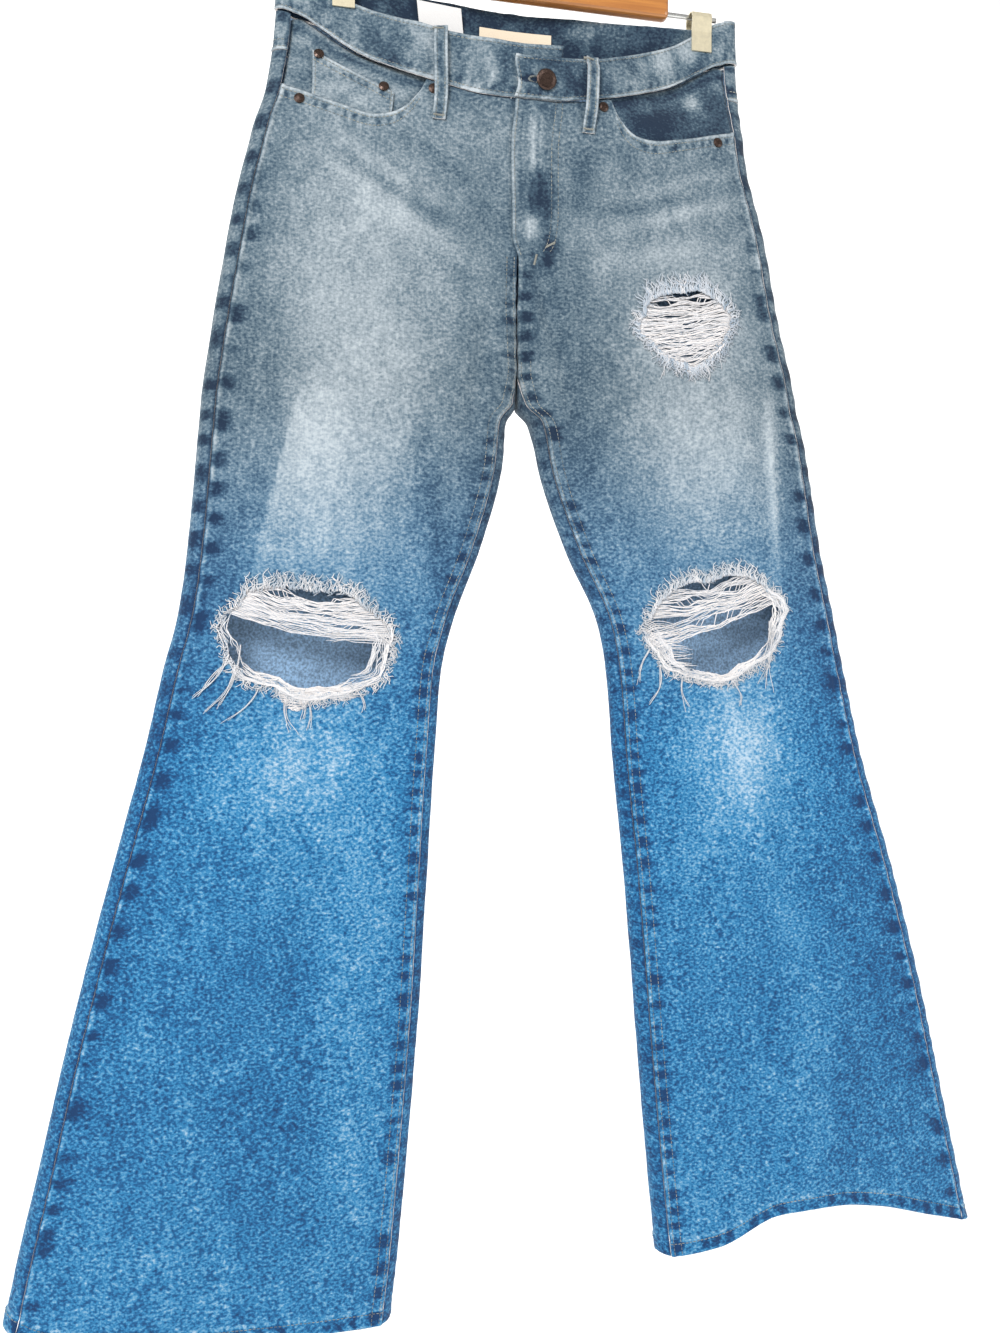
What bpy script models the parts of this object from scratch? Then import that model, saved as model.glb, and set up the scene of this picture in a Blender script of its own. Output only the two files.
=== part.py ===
"""Bootcut jeans hung by the waistband from a wooden clip hanger.

Metres, +Z up. The front faces -Y. The origin is the inside top of the hook, where a rail carries it.
Every cloth piece is a wall on one body form: a front and a back sheet that meet at the edges.
A point of the form is given by its side (-1 or +1 in X), its distance from the centre line, and its height.
"""

import math

import bmesh
import bpy
import numpy as np
from mathutils import Vector

# Driving sizes
WALL = 0.0012
BAND_WALL = 0.0022
HEM_WALL = 0.0024
SEAM_GAP = 0.0005
WAIST_GAP = 0.0010
LAYER_GAP = 0.0004
CURVE_GAP = 0.0003
FACING_EDGE_DEEPER = 0.0006
BAND_PROUD = 0.0006
HEM_TURN = 0.012
OUTSEAM_INSET = 0.012
INSEAM_INSET = 0.009
EDGE_DEPTH = 0.0030
CROTCH_CLEAR = SEAM_GAP / 2 + WALL / 2 + 0.0002
STRIP_LEAST = 0.0002

# Heights below are measured from this level, which is half way down the legs
LEVEL = -0.6605
CROTCH = 0.250
BACK_FORK = 0.215
FRONT_DIP = 0.335
BACK_DIP = 0.245
INSEAM_SETTLED = 0.195

# Outline of the hung garment: height, half width over the outseams, half gap between the legs,
# sideways sway of the centre line, and half thickness of the front and of the back
OUTLINE = [
    dict(z=0.565, half=0.1960, gap=0.0000, sway=-0.0095, front=0.0240, back=0.0120),
    dict(z=0.510, half=0.1985, gap=0.0000, sway=-0.0100, front=0.0225, back=0.0120),
    dict(z=0.460, half=0.2048, gap=0.0000, sway=-0.0110, front=0.0190, back=0.0130),
    dict(z=0.425, half=0.2125, gap=0.0000, sway=-0.0140, front=0.0170, back=0.0150),
    dict(z=0.370, half=0.2270, gap=0.0000, sway=-0.0130, front=0.0160, back=0.0160),
    dict(z=0.300, half=0.2400, gap=0.0000, sway=-0.0125, front=0.0170, back=0.0170),
    dict(z=0.240, half=0.2520, gap=0.0000, sway=-0.0100, front=0.0175, back=0.0170),
    dict(z=0.215, half=0.2560, gap=0.0000, sway=-0.0095, front=0.0175, back=0.0170),
    dict(z=0.200, half=0.2590, gap=0.0100, sway=-0.0080, front=0.0175, back=0.0165),
    dict(z=0.160, half=0.2645, gap=0.0165, sway=-0.0060, front=0.0170, back=0.0160),
    dict(z=0.095, half=0.2728, gap=0.0370, sway=-0.0035, front=0.0165, back=0.0155),
    dict(z=0.033, half=0.2840, gap=0.0630, sway=-0.0010, front=0.0165, back=0.0155),
    dict(z=-0.010, half=0.2940, gap=0.0725, sway=-0.0020, front=0.0165, back=0.0155),
    dict(z=-0.080, half=0.3100, gap=0.0780, sway=-0.0020, front=0.0170, back=0.0160),
    dict(z=-0.190, half=0.3410, gap=0.0870, sway=0.0000, front=0.0180, back=0.0170),
    dict(z=-0.300, half=0.3690, gap=0.0950, sway=0.0010, front=0.0190, back=0.0180),
    dict(z=-0.400, half=0.3910, gap=0.1035, sway=0.0010, front=0.0205, back=0.0190),
    dict(z=-0.490, half=0.4110, gap=0.1120, sway=0.0010, front=0.0225, back=0.0200),
    dict(z=-0.560, half=0.4230, gap=0.1190, sway=0.0010, front=0.0235, back=0.0205),
]

# Depth of the centre line where the seams run under the crotch from the front to the back
SADDLE = [
    dict(z=0.335, y=-0.0150),
    dict(z=0.300, y=-0.0100),
    dict(z=0.275, y=-0.0050),
    dict(z=0.250, y=0.0000),
    dict(z=0.230, y=0.0050),
    dict(z=0.215, y=0.0090),
    dict(z=0.198, y=0.0060),
    dict(z=0.170, y=0.0000),
]

# Lower edge of the waistband at the front and its top edge, by distance from the centre line
FRONT_WAIST = [
    dict(x=0.000, seam=0.4625, top_left=0.5060, top_right=0.4960),
    dict(x=0.030, seam=0.4630, top_left=0.5085, top_right=0.4975),
    dict(x=0.055, seam=0.4670, top_left=0.5120, top_right=0.5010),
    dict(x=0.085, seam=0.4745, top_left=0.5205, top_right=0.5100),
    dict(x=0.110, seam=0.4825, top_left=0.5260, top_right=0.5190),
    dict(x=0.135, seam=0.4930, top_left=0.5330, top_right=0.5290),
    dict(x=0.160, seam=0.5080, top_left=0.5450, top_right=0.5440),
    dict(x=0.180, seam=0.5190, top_left=0.5540, top_right=0.5560),
    dict(x=0.200, seam=0.5230, top_left=0.5570, top_right=0.5600),
]
# The same round the back, where the yoke hangs below it
BACK_WAIST = [
    dict(x=0.000, seam=0.5140, top=0.5530, yoke=0.4440),
    dict(x=0.050, seam=0.5145, top=0.5535, yoke=0.4560),
    dict(x=0.100, seam=0.5140, top=0.5520, yoke=0.4680),
    dict(x=0.150, seam=0.5150, top=0.5520, yoke=0.4790),
    dict(x=0.180, seam=0.5190, top=0.5550, yoke=0.4850),
    dict(x=0.200, seam=0.5230, top=0.5585, yoke=0.4890),
]
# Pocket scoop of the front panel, by distance from the centre line
SCOOP_START = 0.079
SCOOP = [
    dict(x=0.079, z=0.4730),
    dict(x=0.084, z=0.4620),
    dict(x=0.092, z=0.4500),
    dict(x=0.103, z=0.4420),
    dict(x=0.118, z=0.4390),
    dict(x=0.145, z=0.4450),
    dict(x=0.185, z=0.4560),
    dict(x=0.200, z=0.4590),
]

# Inner and outer edge of the coin pocket
COIN_POCKET = [
    dict(x=0.1040, top=0.4600, foot=0.4270),
    dict(x=0.1690, top=0.4930, foot=0.4270),
]
# Patch pocket of the back: middle, half width, how much it draws in, and its top and pointed foot
BACK_POCKET = dict(x=0.103, half=0.076, narrow=0.009, top=0.437, slant=0.010, foot=0.300, point=0.022)

# Hem height along each leg, by the share of the way from the inseam to the outseam
HEM = [
    dict(s=0.00, left=-0.5400, right=-0.5130),
    dict(s=0.15, left=-0.5370, right=-0.5060),
    dict(s=0.35, left=-0.5345, right=-0.4810),
    dict(s=0.50, left=-0.5330, right=-0.4780),
    dict(s=0.65, left=-0.5300, right=-0.4840),
    dict(s=0.85, left=-0.5230, right=-0.5020),
    dict(s=1.00, left=-0.5080, right=-0.5140),
]

# Large folds of the cloth: a ridge or, where the rise is below zero, a trough from one point to another
FOLDS = [
    dict(sheet="front", x0=-0.195, z0=0.200, x1=-0.218, z1=0.085, rise=0.0030, wide=0.014),
    dict(sheet="front", x0=-0.075, z0=0.190, x1=-0.100, z1=0.045, rise=0.0026, wide=0.013),
    dict(sheet="front", x0=0.185, z0=0.190, x1=0.205, z1=0.080, rise=0.0026, wide=0.013),
    dict(sheet="front", x0=0.014, z0=0.305, x1=0.045, z1=0.180, rise=-0.0032, wide=0.010),
    dict(sheet="front", x0=-0.034, z0=0.290, x1=-0.052, z1=0.190, rise=-0.0024, wide=0.010),
    dict(sheet="front", x0=-0.195, z0=0.400, x1=-0.090, z1=0.392, rise=-0.0020, wide=0.009),
    dict(sheet="front", x0=0.070, z0=0.398, x1=0.165, z1=0.408, rise=-0.0020, wide=0.009),
    dict(sheet="front", x0=-0.215, z0=-0.045, x1=-0.225, z1=-0.190, rise=0.0030, wide=0.020),
    dict(sheet="front", x0=0.190, z0=-0.040, x1=0.205, z1=-0.180, rise=0.0030, wide=0.020),
    dict(sheet="front", x0=-0.150, z0=-0.120, x1=-0.215, z1=-0.330, rise=-0.0030, wide=0.016),
    dict(sheet="front", x0=0.235, z0=-0.300, x1=0.255, z1=-0.500, rise=0.0060, wide=0.040),
    dict(sheet="front", x0=-0.290, z0=-0.330, x1=-0.310, z1=-0.540, rise=0.0040, wide=0.034),
    dict(sheet="back", x0=0.020, z0=0.300, x1=0.110, z1=0.225, rise=-0.0034, wide=0.012),
    dict(sheet="back", x0=-0.035, z0=0.295, x1=-0.125, z1=0.230, rise=-0.0030, wide=0.012),
    dict(sheet="back", x0=0.035, z0=0.250, x1=0.120, z1=0.185, rise=0.0028, wide=0.013),
    dict(sheet="back", x0=-0.045, z0=0.245, x1=-0.140, z1=0.175, rise=0.0026, wide=0.012),
    dict(sheet="back", x0=-0.215, z0=0.060, x1=-0.100, z1=0.035, rise=-0.0028, wide=0.012),
    dict(sheet="back", x0=0.110, z0=0.040, x1=0.225, z1=0.070, rise=-0.0028, wide=0.012),
    dict(sheet="back", x0=-0.200, z0=-0.080, x1=-0.260, z1=-0.330, rise=0.0040, wide=0.026),
    dict(sheet="back", x0=0.190, z0=-0.090, x1=0.245, z1=-0.350, rise=0.0040, wide=0.026),
]

# Rips cut through the front: middle, half sizes, turn in degrees, how much the foot narrows,
# the share of the height that threads still cross from the top, the counts of threads and frayed ends,
# and how far the frayed foot reaches to each side, in half turns
RIPS = [
    dict(name="knee_left", side=-1, x=-0.1840, z=0.0150, wide=0.0690, high=0.0420, turn=-8,
         narrow=0.05, crossed=0.52, threads=12, top_fray=5, foot_fray=9, foot_half=0.38),
    dict(name="knee_right", side=1, x=0.1630, z=0.0280, wide=0.0640, high=0.0430, turn=12,
         narrow=0.18, crossed=0.45, threads=10, top_fray=5, foot_fray=8, foot_half=0.38),
    dict(name="thigh_right", side=1, x=0.1360, z=0.2830, wide=0.0440, high=0.0330, turn=8,
         narrow=0.50, crossed=0.88, threads=11, top_fray=4, foot_fray=3, foot_half=0.12),
]
RIP_POINTS = 24
THREAD_RADIUS = 0.0007
ROOT_RADIUS = 0.0011
ROOT_BEHIND = 0.0026
ROOT_OUTSIDE = 0.0060

# Rivets on the front: side, distance from the centre line, height, and the cloth that they sit on
RIVETS = [
    dict(name="rivet_coin_outer", side=-1, x=0.1640, z=0.4890, on="coin_pocket"),
    dict(name="rivet_coin_inner", side=-1, x=0.1120, z=0.4640, on="coin_pocket"),
    dict(name="rivet_left_outer", side=-1, x=0.1780, z=0.4470, on="front"),
    dict(name="rivet_left_inner", side=-1, x=0.0720, z=0.4640, on="front"),
    dict(name="rivet_right_inner", side=1, x=0.0720, z=0.4640, on="front"),
    dict(name="rivet_right_outer", side=1, x=0.1780, z=0.4470, on="front"),
]
RIVET_RADIUS = 0.0042
RIVET_OUT = {"coin_pocket": -0.0005, "front": WALL / 2 + LAYER_GAP}

OVERLAP = 0.0050
UNDERLAP = 0.0350
FLY_FOOT = 0.3300
BUTTON_X = 0.0200
BUTTON_Z = 0.4780
BUTTON_RADIUS = 0.0085
SHANK_RADIUS = 0.0012
BUTTONHOLE = (0.0190, 0.0034)

LOOP_WIDTH = 0.011
LOOP_WALL = 0.0013
LOOP_CLEAR = 0.0028
# Belt loops: side, sheet, distance, heights of the foot, the waist seam and the band's top, and extra room
LOOPS = [
    dict(name="loop_front_left", side=-1, sheet="front", x=0.0660, foot=0.4390, seam=0.4695, top=0.5150,
         out=0.0001),
    dict(name="loop_front_right", side=1, sheet="front", x=0.0600, foot=0.4400, seam=0.4680, top=0.5020,
         out=0.0007),
    dict(name="loop_side_left", side=-1, sheet="back", x=0.1820, foot=0.4950, seam=0.5190, top=0.5550,
         out=0.0),
    dict(name="loop_side_right", side=1, sheet="back", x=0.1820, foot=0.4950, seam=0.5190, top=0.5550,
         out=0.0),
    dict(name="loop_back", side=1, sheet="back", x=0.0000, foot=0.4900, seam=0.5140, top=0.5530, out=0.0),
]

LABEL_WALL = 0.0006
SIZE_LABEL = dict(across=(-0.029, 0.034), heights=(0.5370, 0.5190))
CARE_LABEL = dict(across=(0.0400, 0.0780), heights=(0.5050, 0.5470), slant=0.006, before=0.0014, lean=0.0062)

CLIP_X = 0.1545
CLIP_WIDTH = 0.018
CLIP_BOTTOM = 0.5290
CLIP_WALL = 0.0012
ROD_Z = 0.5605
ROD_RADIUS = 0.0021
ROD_HALF = 0.170
BAR_SIZE = (0.250, 0.0125, 0.030)
BAR_BOTTOM = 0.5550
HOOK_WIRE = 0.0019
HOOK_RADIUS = 0.0210

DENIM_PALE = (0.30, 0.38, 0.44, 1.0)
DENIM_MID = (0.17, 0.31, 0.46, 1.0)
THREAD_WHITE = (0.78, 0.74, 0.70, 1.0)
LABEL_CREAM = (0.80, 0.68, 0.52, 1.0)
LABEL_WHITE = (0.85, 0.84, 0.82, 1.0)
WOOD_AMBER = (0.48, 0.21, 0.06, 1.0)
STEEL = (0.62, 0.62, 0.60, 1.0)
CLIP_GOLD = (0.72, 0.64, 0.45, 1.0)
RIVET_DARK = (0.06, 0.045, 0.04, 1.0)

FORWARD = (0, -1, 0)
BACKWARD = (0, 1, 0)


# Small helpers


def column(table, key):
    return np.array([row[key] for row in table], float)


def smooth(value, places, heights):
    """Value of the smooth curve through the points: a cubic between neighbours, level outside them."""
    order = np.argsort(places)
    xs, ys = np.asarray(places, float)[order], np.asarray(heights, float)[order]
    steps = np.diff(xs)
    slopes = np.diff(ys) / steps
    tangents = np.zeros(len(xs))
    rising = slopes[1:] * slopes[:-1] > 0
    mean = 2 * slopes[1:] * slopes[:-1] / np.where(rising, slopes[1:] + slopes[:-1], 1)
    tangents[1:-1] = np.where(rising, mean, 0)
    value = np.clip(value, xs[0], xs[-1])
    i = np.clip(np.searchsorted(xs, value) - 1, 0, len(xs) - 2)
    t = (value - xs[i]) / steps[i]
    start = (2 * t**3 - 3 * t**2 + 1) * ys[i] + (t**3 - 2 * t**2 + t) * steps[i] * tangents[i]
    end = (3 * t**2 - 2 * t**3) * ys[i + 1] + (t**3 - t**2) * steps[i] * tangents[i + 1]
    return start + end


def along(table, place, key, value):
    """A column of the table read at the value, by another column that holds the places."""
    return smooth(value, column(table, place), column(table, key))


def outline(key, z):
    return along(OUTLINE, "z", key, z)


def step(low, high, value):
    """0 below the low value, 1 above the high one, and a soft S between."""
    t = np.clip((value - low) / (high - low), 0, 1)
    return t * t * (3 - 2 * t)


def material(name, colour, roughness, metallic=0.0):
    made = bpy.data.materials.new(name)
    made.use_nodes = True
    shader = made.node_tree.nodes["Principled BSDF"]
    shader.inputs["Base Color"].default_value = colour
    shader.inputs["Roughness"].default_value = roughness
    shader.inputs["Metallic"].default_value = metallic
    return made


# Body form


def edge_round(distance, radius):
    """Quarter of an ellipse: 0 at the edge, 1 once the distance passes the radius."""
    t = np.clip(distance / radius, 0, 1)
    return np.sqrt(1 - (1 - t) ** 2)


def fold_height(sheet, x, z):
    """Sum of the folds: along a fold the rise swells and fades, across it falls off as a bell."""
    total = np.zeros(np.broadcast(x, z).shape)
    for fold in FOLDS:
        if fold["sheet"] != sheet:
            continue
        run = np.array([fold["x1"] - fold["x0"], fold["z1"] - fold["z0"]])
        length = math.hypot(*run)
        run = run / length
        dx, dz = x - fold["x0"], z - fold["z0"]
        t = (dx * run[0] + dz * run[1]) / length
        across = dx * run[1] - dz * run[0]
        swell = step(-0.25, 0.3, t) * (1 - step(0.7, 1.25, t))
        total = total + fold["rise"] * swell * np.exp(-((across / fold["wide"]) ** 2))
    return total


def clip_distance(side):
    """Distance of a clip from the centre line, which sways to one side of the hanger's middle."""
    return CLIP_X - side * float(outline("sway", CLIP_BOTTOM))


def sheet_depth(side, sheet, distance, z, x):
    """How far the sheet stands from the middle plane, before it turns at its edges.

    The waist is open between the clips and pinched by them, the hips are one broad lens, and each leg
    is a lens of its own.
    """
    half, gap = outline("half", z), outline("gap", z)
    pinched = np.cos(math.pi / 2 * np.clip(distance / clip_distance(side), 0, 1)) ** 2
    hips = 1 - 0.55 * np.clip(distance / half, 0, 1) ** 3
    held = step(0.43, 0.515, z)
    across = np.clip((distance - gap) / (half - gap), 0, 1)
    leg = 1 - 0.55 * np.abs(2 * across - 1) ** 3
    legs = 1 - step(BACK_FORK, FRONT_DIP, z)
    share = (1 - legs) * (held * pinched + (1 - held) * hips) + legs * leg
    return outline(sheet, z) * share + EDGE_DEPTH + fold_height(sheet, x, z) * (1 - held)


def body_point(side, sheet, distance, z):
    """Points of the form's middle surface at distances from the centre line and heights above LEVEL.

    A distance below zero lies past the centre line, on the other side.
    """
    distance, z = np.broadcast_arrays(np.asarray(distance, float), np.asarray(z, float))
    side = np.where(distance < 0, -side, side)
    distance = np.abs(distance)
    x = side * distance + outline("sway", z)
    depth = sheet_depth(side, sheet, distance, z, x)
    inner_depth = along(SADDLE, "z", "y", z)
    if sheet == "front":
        joined = step(0.270, FRONT_DIP, z)
        facing, reach = -1, 0.012 + 0.012 * joined
    else:
        joined = step(BACK_FORK - 0.004, BACK_DIP, z)
        facing, reach = 1, 0.011
    turned = edge_round(distance - outline("gap", z), reach)
    parted = inner_depth + (facing * depth - inner_depth) * turned
    y = joined * facing * depth + (1 - joined) * parted
    y = y * edge_round(outline("half", z) - distance, 0.011)
    return np.stack([x, y, z + LEVEL], axis=-1)


def moved_out(grid, out, toward, at=None):
    """The grid moved along its normals by out, to the side that the vector toward points to.

    The side is told at one point of a grid that goes all round, and else by the middle value.
    """
    normal = np.cross(np.gradient(grid, axis=0), np.gradient(grid, axis=1))
    normal /= np.linalg.norm(normal, axis=-1, keepdims=True)
    facing = normal @ np.asarray(toward, float)
    facing = np.sign(np.median(facing) if at is None else facing[at])
    out = np.broadcast_to(np.asarray(out, float), grid.shape[:2])
    return grid + normal * facing * out[..., None]


# Walls


def grid_mesh(name, grids, weld=0.0):
    """One mesh from several grids of points, each with rows, columns and XYZ."""
    points, faces, start = [], [], 0
    for grid in grids:
        rows, columns = grid.shape[:2]
        index = start + np.arange(rows * columns).reshape(rows, columns)
        corners = [index[:-1, :-1], index[1:, :-1], index[1:, 1:], index[:-1, 1:]]
        faces.extend(np.stack(corners, axis=-1).reshape(-1, 4).tolist())
        points.append(grid.reshape(-1, 3))
        start += rows * columns
    mesh = bpy.data.meshes.new(name)
    mesh.from_pydata(np.concatenate(points).tolist(), [], faces)
    cage = bmesh.new()
    cage.from_mesh(mesh)
    if weld:
        bmesh.ops.remove_doubles(cage, verts=cage.verts, dist=weld)
    bmesh.ops.recalc_face_normals(cage, faces=cage.faces)
    cage.to_mesh(mesh)
    cage.free()
    return mesh


def add_object(name, mesh, finish, collection):
    made = bpy.data.objects.new(name, mesh)
    mesh.materials.append(finish)
    collection.objects.link(made)
    return made


def cloth(name, grids, wall, finish, collection, weld=0.0, hem=None):
    """An open sheet with half of its wall to each side, thicker where the hem is turned up."""
    made = add_object(name, grid_mesh(name, grids, weld), finish, collection)
    solid = made.modifiers.new("Wall", "SOLIDIFY")
    solid.offset = 0
    solid.use_quality_normals = True
    solid.thickness = wall
    if hem is not None:
        weights = made.vertex_groups.new(name="thickness")
        for vertex in made.data.vertices:
            weights.add([vertex.index], hem(vertex.co), "REPLACE")
        solid.thickness = HEM_WALL
        solid.vertex_group = weights.name
    return made


def union(made, mesh_of_parts, collection):
    """Joins loose parts to the object, which they reach into."""
    helper = bpy.data.objects.new(made.name + "_parts", mesh_of_parts)
    hide(helper, collection)
    joint = made.modifiers.new("Union", "BOOLEAN")
    joint.operation = "UNION"
    joint.use_self = True
    joint.object = helper


def hide(helper, collection):
    collection.objects.link(helper)
    helper.hide_render = True
    helper.display_type = "WIRE"


def cut(made, helper):
    opening = made.modifiers.new("Cut " + helper.name, "BOOLEAN")
    opening.operation = "DIFFERENCE"
    opening.object = helper


# Panels of the legs


def front_inner(side, z):
    """Inner edge of a front panel: the fly, the crotch seam, then the inseam."""
    inset = INSEAM_INSET * (1 - step(INSEAM_SETTLED, CROTCH, z))
    facing = 1 - step(0.300, 0.340, z)
    clear = SEAM_GAP / 2 + (CROTCH_CLEAR - SEAM_GAP / 2) * facing
    lap = OVERLAP * step(FLY_FOOT, FLY_FOOT + 0.020, z) if side > 0 else 0.0
    return np.maximum(outline("gap", z) + inset, clear) - lap


def back_inner(z):
    """Inner edge of the back sheet: the centre back seam, then the leg's own edge."""
    facing = 1 - step(BACK_FORK, BACK_DIP, z)
    clear = SEAM_GAP / 2 + (CROTCH_CLEAR - SEAM_GAP / 2) * facing
    return np.maximum(outline("gap", z), clear)


def hem_height(side, distance):
    z = HEM[0]["left"]
    gap, half = outline("gap", z), outline("half", z)
    share = np.clip((distance - gap) / (half - gap), 0, 1)
    return along(HEM, "s", "left" if side < 0 else "right", share)


def front_top(distance):
    seam = along(FRONT_WAIST, "x", "seam", distance) - WAIST_GAP
    scoop = along(SCOOP, "x", "z", distance)
    return np.where(distance < SCOOP_START, seam, np.minimum(seam, scoop))


def back_top(distance):
    return along(BACK_WAIST, "x", "yoke", distance) - SEAM_GAP


LEG_TOP, LEG_HEM = 0.445, -0.505
YOKE_TOP = np.array([[0.515]])
LEVELS = np.concatenate([
    np.linspace(LEG_TOP, FRONT_DIP, 5),
    [0.308, 0.278, CROTCH, 0.234, BACK_FORK, 0.200, 0.180, 0.150, 0.105],
    np.linspace(0.060, -0.465, 11),
    [LEG_HEM + HEM_TURN * 1.15, LEG_HEM + HEM_TURN, LEG_HEM],
])
FRONT_SHARES = np.array([0, 0.03, 0.08, 0.17, 0.28, 0.385, 0.425, 0.465, 0.53, 0.61, 0.71, 0.81, 0.91, 1.0])
BACK_SHARES = np.array([0, 0.04, 0.10, 0.22, 0.37, 0.53, 0.69, 0.84, 1.0])
OUTER_WRAP = [(0.0060, "back"), (0.0020, "back"), (0.0, "back"), (0.0020, "front"), (0.0060, "front")]
INNER_SHARES = np.array([0, 0.25, 0.60, 1.0])
WRAP_START = 0.0110


def leg_heights(side, distances, top_of):
    """Heights of a panel's points: level rows, bent to its top edge above and to the hem below."""
    level = LEVELS[:, None]
    near_top = 1 - step(0.0, 0.135, LEG_TOP - level)
    near_hem = step(0.0, 0.200, LEG_HEM + 0.200 - level)
    top = top_of(distances[0])[None, :]
    hem = hem_height(side, distances[-1])[None, :]
    return level + (top - LEG_TOP) * near_top + (hem - LEG_HEM) * near_hem


def front_grid(side):
    """Front panel: rows down the leg by columns from the fly or inseam to the outseam."""

    def distance_of(z):
        inner = front_inner(side, z)
        return inner + (outline("half", z) - OUTSEAM_INSET - inner) * FRONT_SHARES[None, :]

    z = leg_heights(side, distance_of(LEVELS[:, None]), front_top)
    distance = distance_of(z)
    grid = body_point(side, "front", distance, z)
    fly = step(FLY_FOOT - 0.025, FLY_FOOT, z) * (1 - step(0.020, 0.045, np.abs(distance)))
    lap = side * (WALL + LAYER_GAP) / 2 * fly
    return moved_out(grid, lap, FORWARD)


def round_the_edge(side, inner, z):
    """Back sheet from the inner distance to the outer edge and round it to the outseam."""
    half = outline("half", z)
    count = len(BACK_SHARES)
    across = inner + (half[:, :count] - WRAP_START - inner) * BACK_SHARES[None, :]
    parts = [body_point(side, "back", across, z[:, :count])]
    for i, (edge, sheet) in enumerate(OUTER_WRAP):
        at = slice(count + i, count + i + 1)
        parts.append(body_point(side, sheet, half[:, at] - edge, z[:, at]))
    seam = half[:, -1:] - OUTSEAM_INSET + SEAM_GAP
    parts.append(body_point(side, "front", seam, z[:, -1:]))
    return np.concatenate(parts, axis=1)


def back_distances(z):
    """Distances of the back's columns at one height, which tell how its top and hem curve."""
    gap, half = outline("gap", z), outline("half", z)
    across = gap + (half - WRAP_START - gap) * BACK_SHARES[None, :]
    wrapped = [half - edge for edge, sheet in OUTER_WRAP]
    return np.concatenate([across, *wrapped, half - OUTSEAM_INSET], axis=1)


def back_grids(side):
    """Back panel: the back sheet with its wrap, and the strip round the inner edge up to the crotch."""
    z = leg_heights(side, back_distances(LEVELS[:, None]), back_top)
    inner = back_inner(z[:, :1])
    main = round_the_edge(side, inner, z)
    strip_rows = LEVELS < CROTCH
    height = z[strip_rows, :1]
    start = inner[strip_rows]
    start = np.where(height > BACK_FORK, CROTCH_CLEAR, start)
    seam = np.maximum(front_inner(side, height) - SEAM_GAP, start + STRIP_LEAST)
    strip = body_point(side, "front", start + (seam - start) * INNER_SHARES[None, :], height)
    return [main, strip]


def hem_weight(side):
    """Share of the hem's wall at a point: whole on the turned-up band, the plain wall above it."""

    def weight(point):
        z = point.z - LEVEL
        edge = float(hem_height(side, np.float64(abs(point.x))))
        return 1.0 if z < edge + HEM_TURN * 1.08 else WALL / HEM_WALL

    return weight


def yoke_grid(side):
    shares = np.linspace(0, 1, 4)[:, None]
    top = along(BACK_WAIST, "x", "seam", back_distances(YOKE_TOP)) - WAIST_GAP
    foot = along(BACK_WAIST, "x", "yoke", back_distances(LEVELS[:1, None]))
    z = top + (foot - top) * shares
    return round_the_edge(side, back_inner(z[:, :1]), z)


# Waistband, loops and pockets


def band_run(side, sheet, distance, out, key):
    """A stretch of the waistband, rows up it by columns along it, with how far it is pushed out."""
    rows = np.linspace(0, 1, 4)[:, None]
    table = FRONT_WAIST if sheet == "front" else BACK_WAIST
    seam = along(table, "x", "seam", np.abs(distance))
    top = along(table, "x", key if sheet == "front" else "top", np.abs(distance))
    z = seam + (top - seam) * rows
    return body_point(side, sheet, distance + 0 * z, z), out + 0 * z


def band_fold(side, key):
    """The waistband where it folds over at the side, from the front sheet to the back one."""
    rows = np.linspace(0, 1, 4)[:, None]
    edge = float(FRONT_WAIST[-1]["x"])
    parts = []
    for gone, sheet in reversed(OUTER_WRAP):
        table = FRONT_WAIST if sheet == "front" else BACK_WAIST
        seam = along(table, "x", "seam", edge - gone)
        top = along(table, "x", key if sheet == "front" else "top", edge - gone)
        z = seam + (top - seam) * rows
        parts.append(body_point(side, sheet, outline("half", z) - gone, z))
    grid = np.concatenate(parts, axis=1)
    return grid, np.zeros(grid.shape[:2])


def band_grid():
    """Waistband from its lapping end round the back to the end below, as rows by columns."""
    lap = (BAND_WALL + LAYER_GAP) / 2
    halves = []
    for side, key, start in ((1, "top_right", -OVERLAP), (-1, "top_left", -UNDERLAP)):
        front = np.concatenate([np.linspace(start, 0.045, 6)[:-1], np.linspace(0.045, 0.185, 8)])
        back = np.linspace(0.185, 0.0, 9)
        out = side * lap * (1 - step(0.045, 0.075, front))
        runs = [band_run(side, "front", front, out, key), band_fold(side, key),
                band_run(side, "back", back, 0.0, key)]
        halves.append([np.concatenate(kind, axis=1) for kind in zip(*runs)])
    (right, right_out), (left, left_out) = halves
    grid = np.concatenate([right, left[:, -2::-1]], axis=1)
    out = np.concatenate([right_out, left_out[:, -2::-1]], axis=1) + BAND_PROUD
    return moved_out(grid, out, FORWARD, at=(1, 1))


def facing_grid(side, out):
    """Denim facing behind the pocket opening, from the waist seam to below the scoop."""
    distance = np.array([0.068, 0.078, 0.088, 0.105, 0.130, 0.155, 0.178])[None, :]
    rows = np.linspace(0, 1, 5)[:, None]
    top = along(FRONT_WAIST, "x", "seam", distance) - WAIST_GAP
    foot = along(SCOOP, "x", "z", np.maximum(distance, 0.100)) - 0.022
    z = top + (foot - top) * rows
    outer = outline("half", z) - OUTSEAM_INSET - 0.0004
    share = (distance - distance[0, 0]) / (distance[0, -1] - distance[0, 0])
    spread = distance[0, 0] + (outer - distance[0, 0]) * share
    deeper = FACING_EDGE_DEEPER * (1 - step(0.080, 0.105, distance)) + 0 * z
    return moved_out(body_point(side, "front", spread, z), out - deeper, FORWARD)


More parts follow.
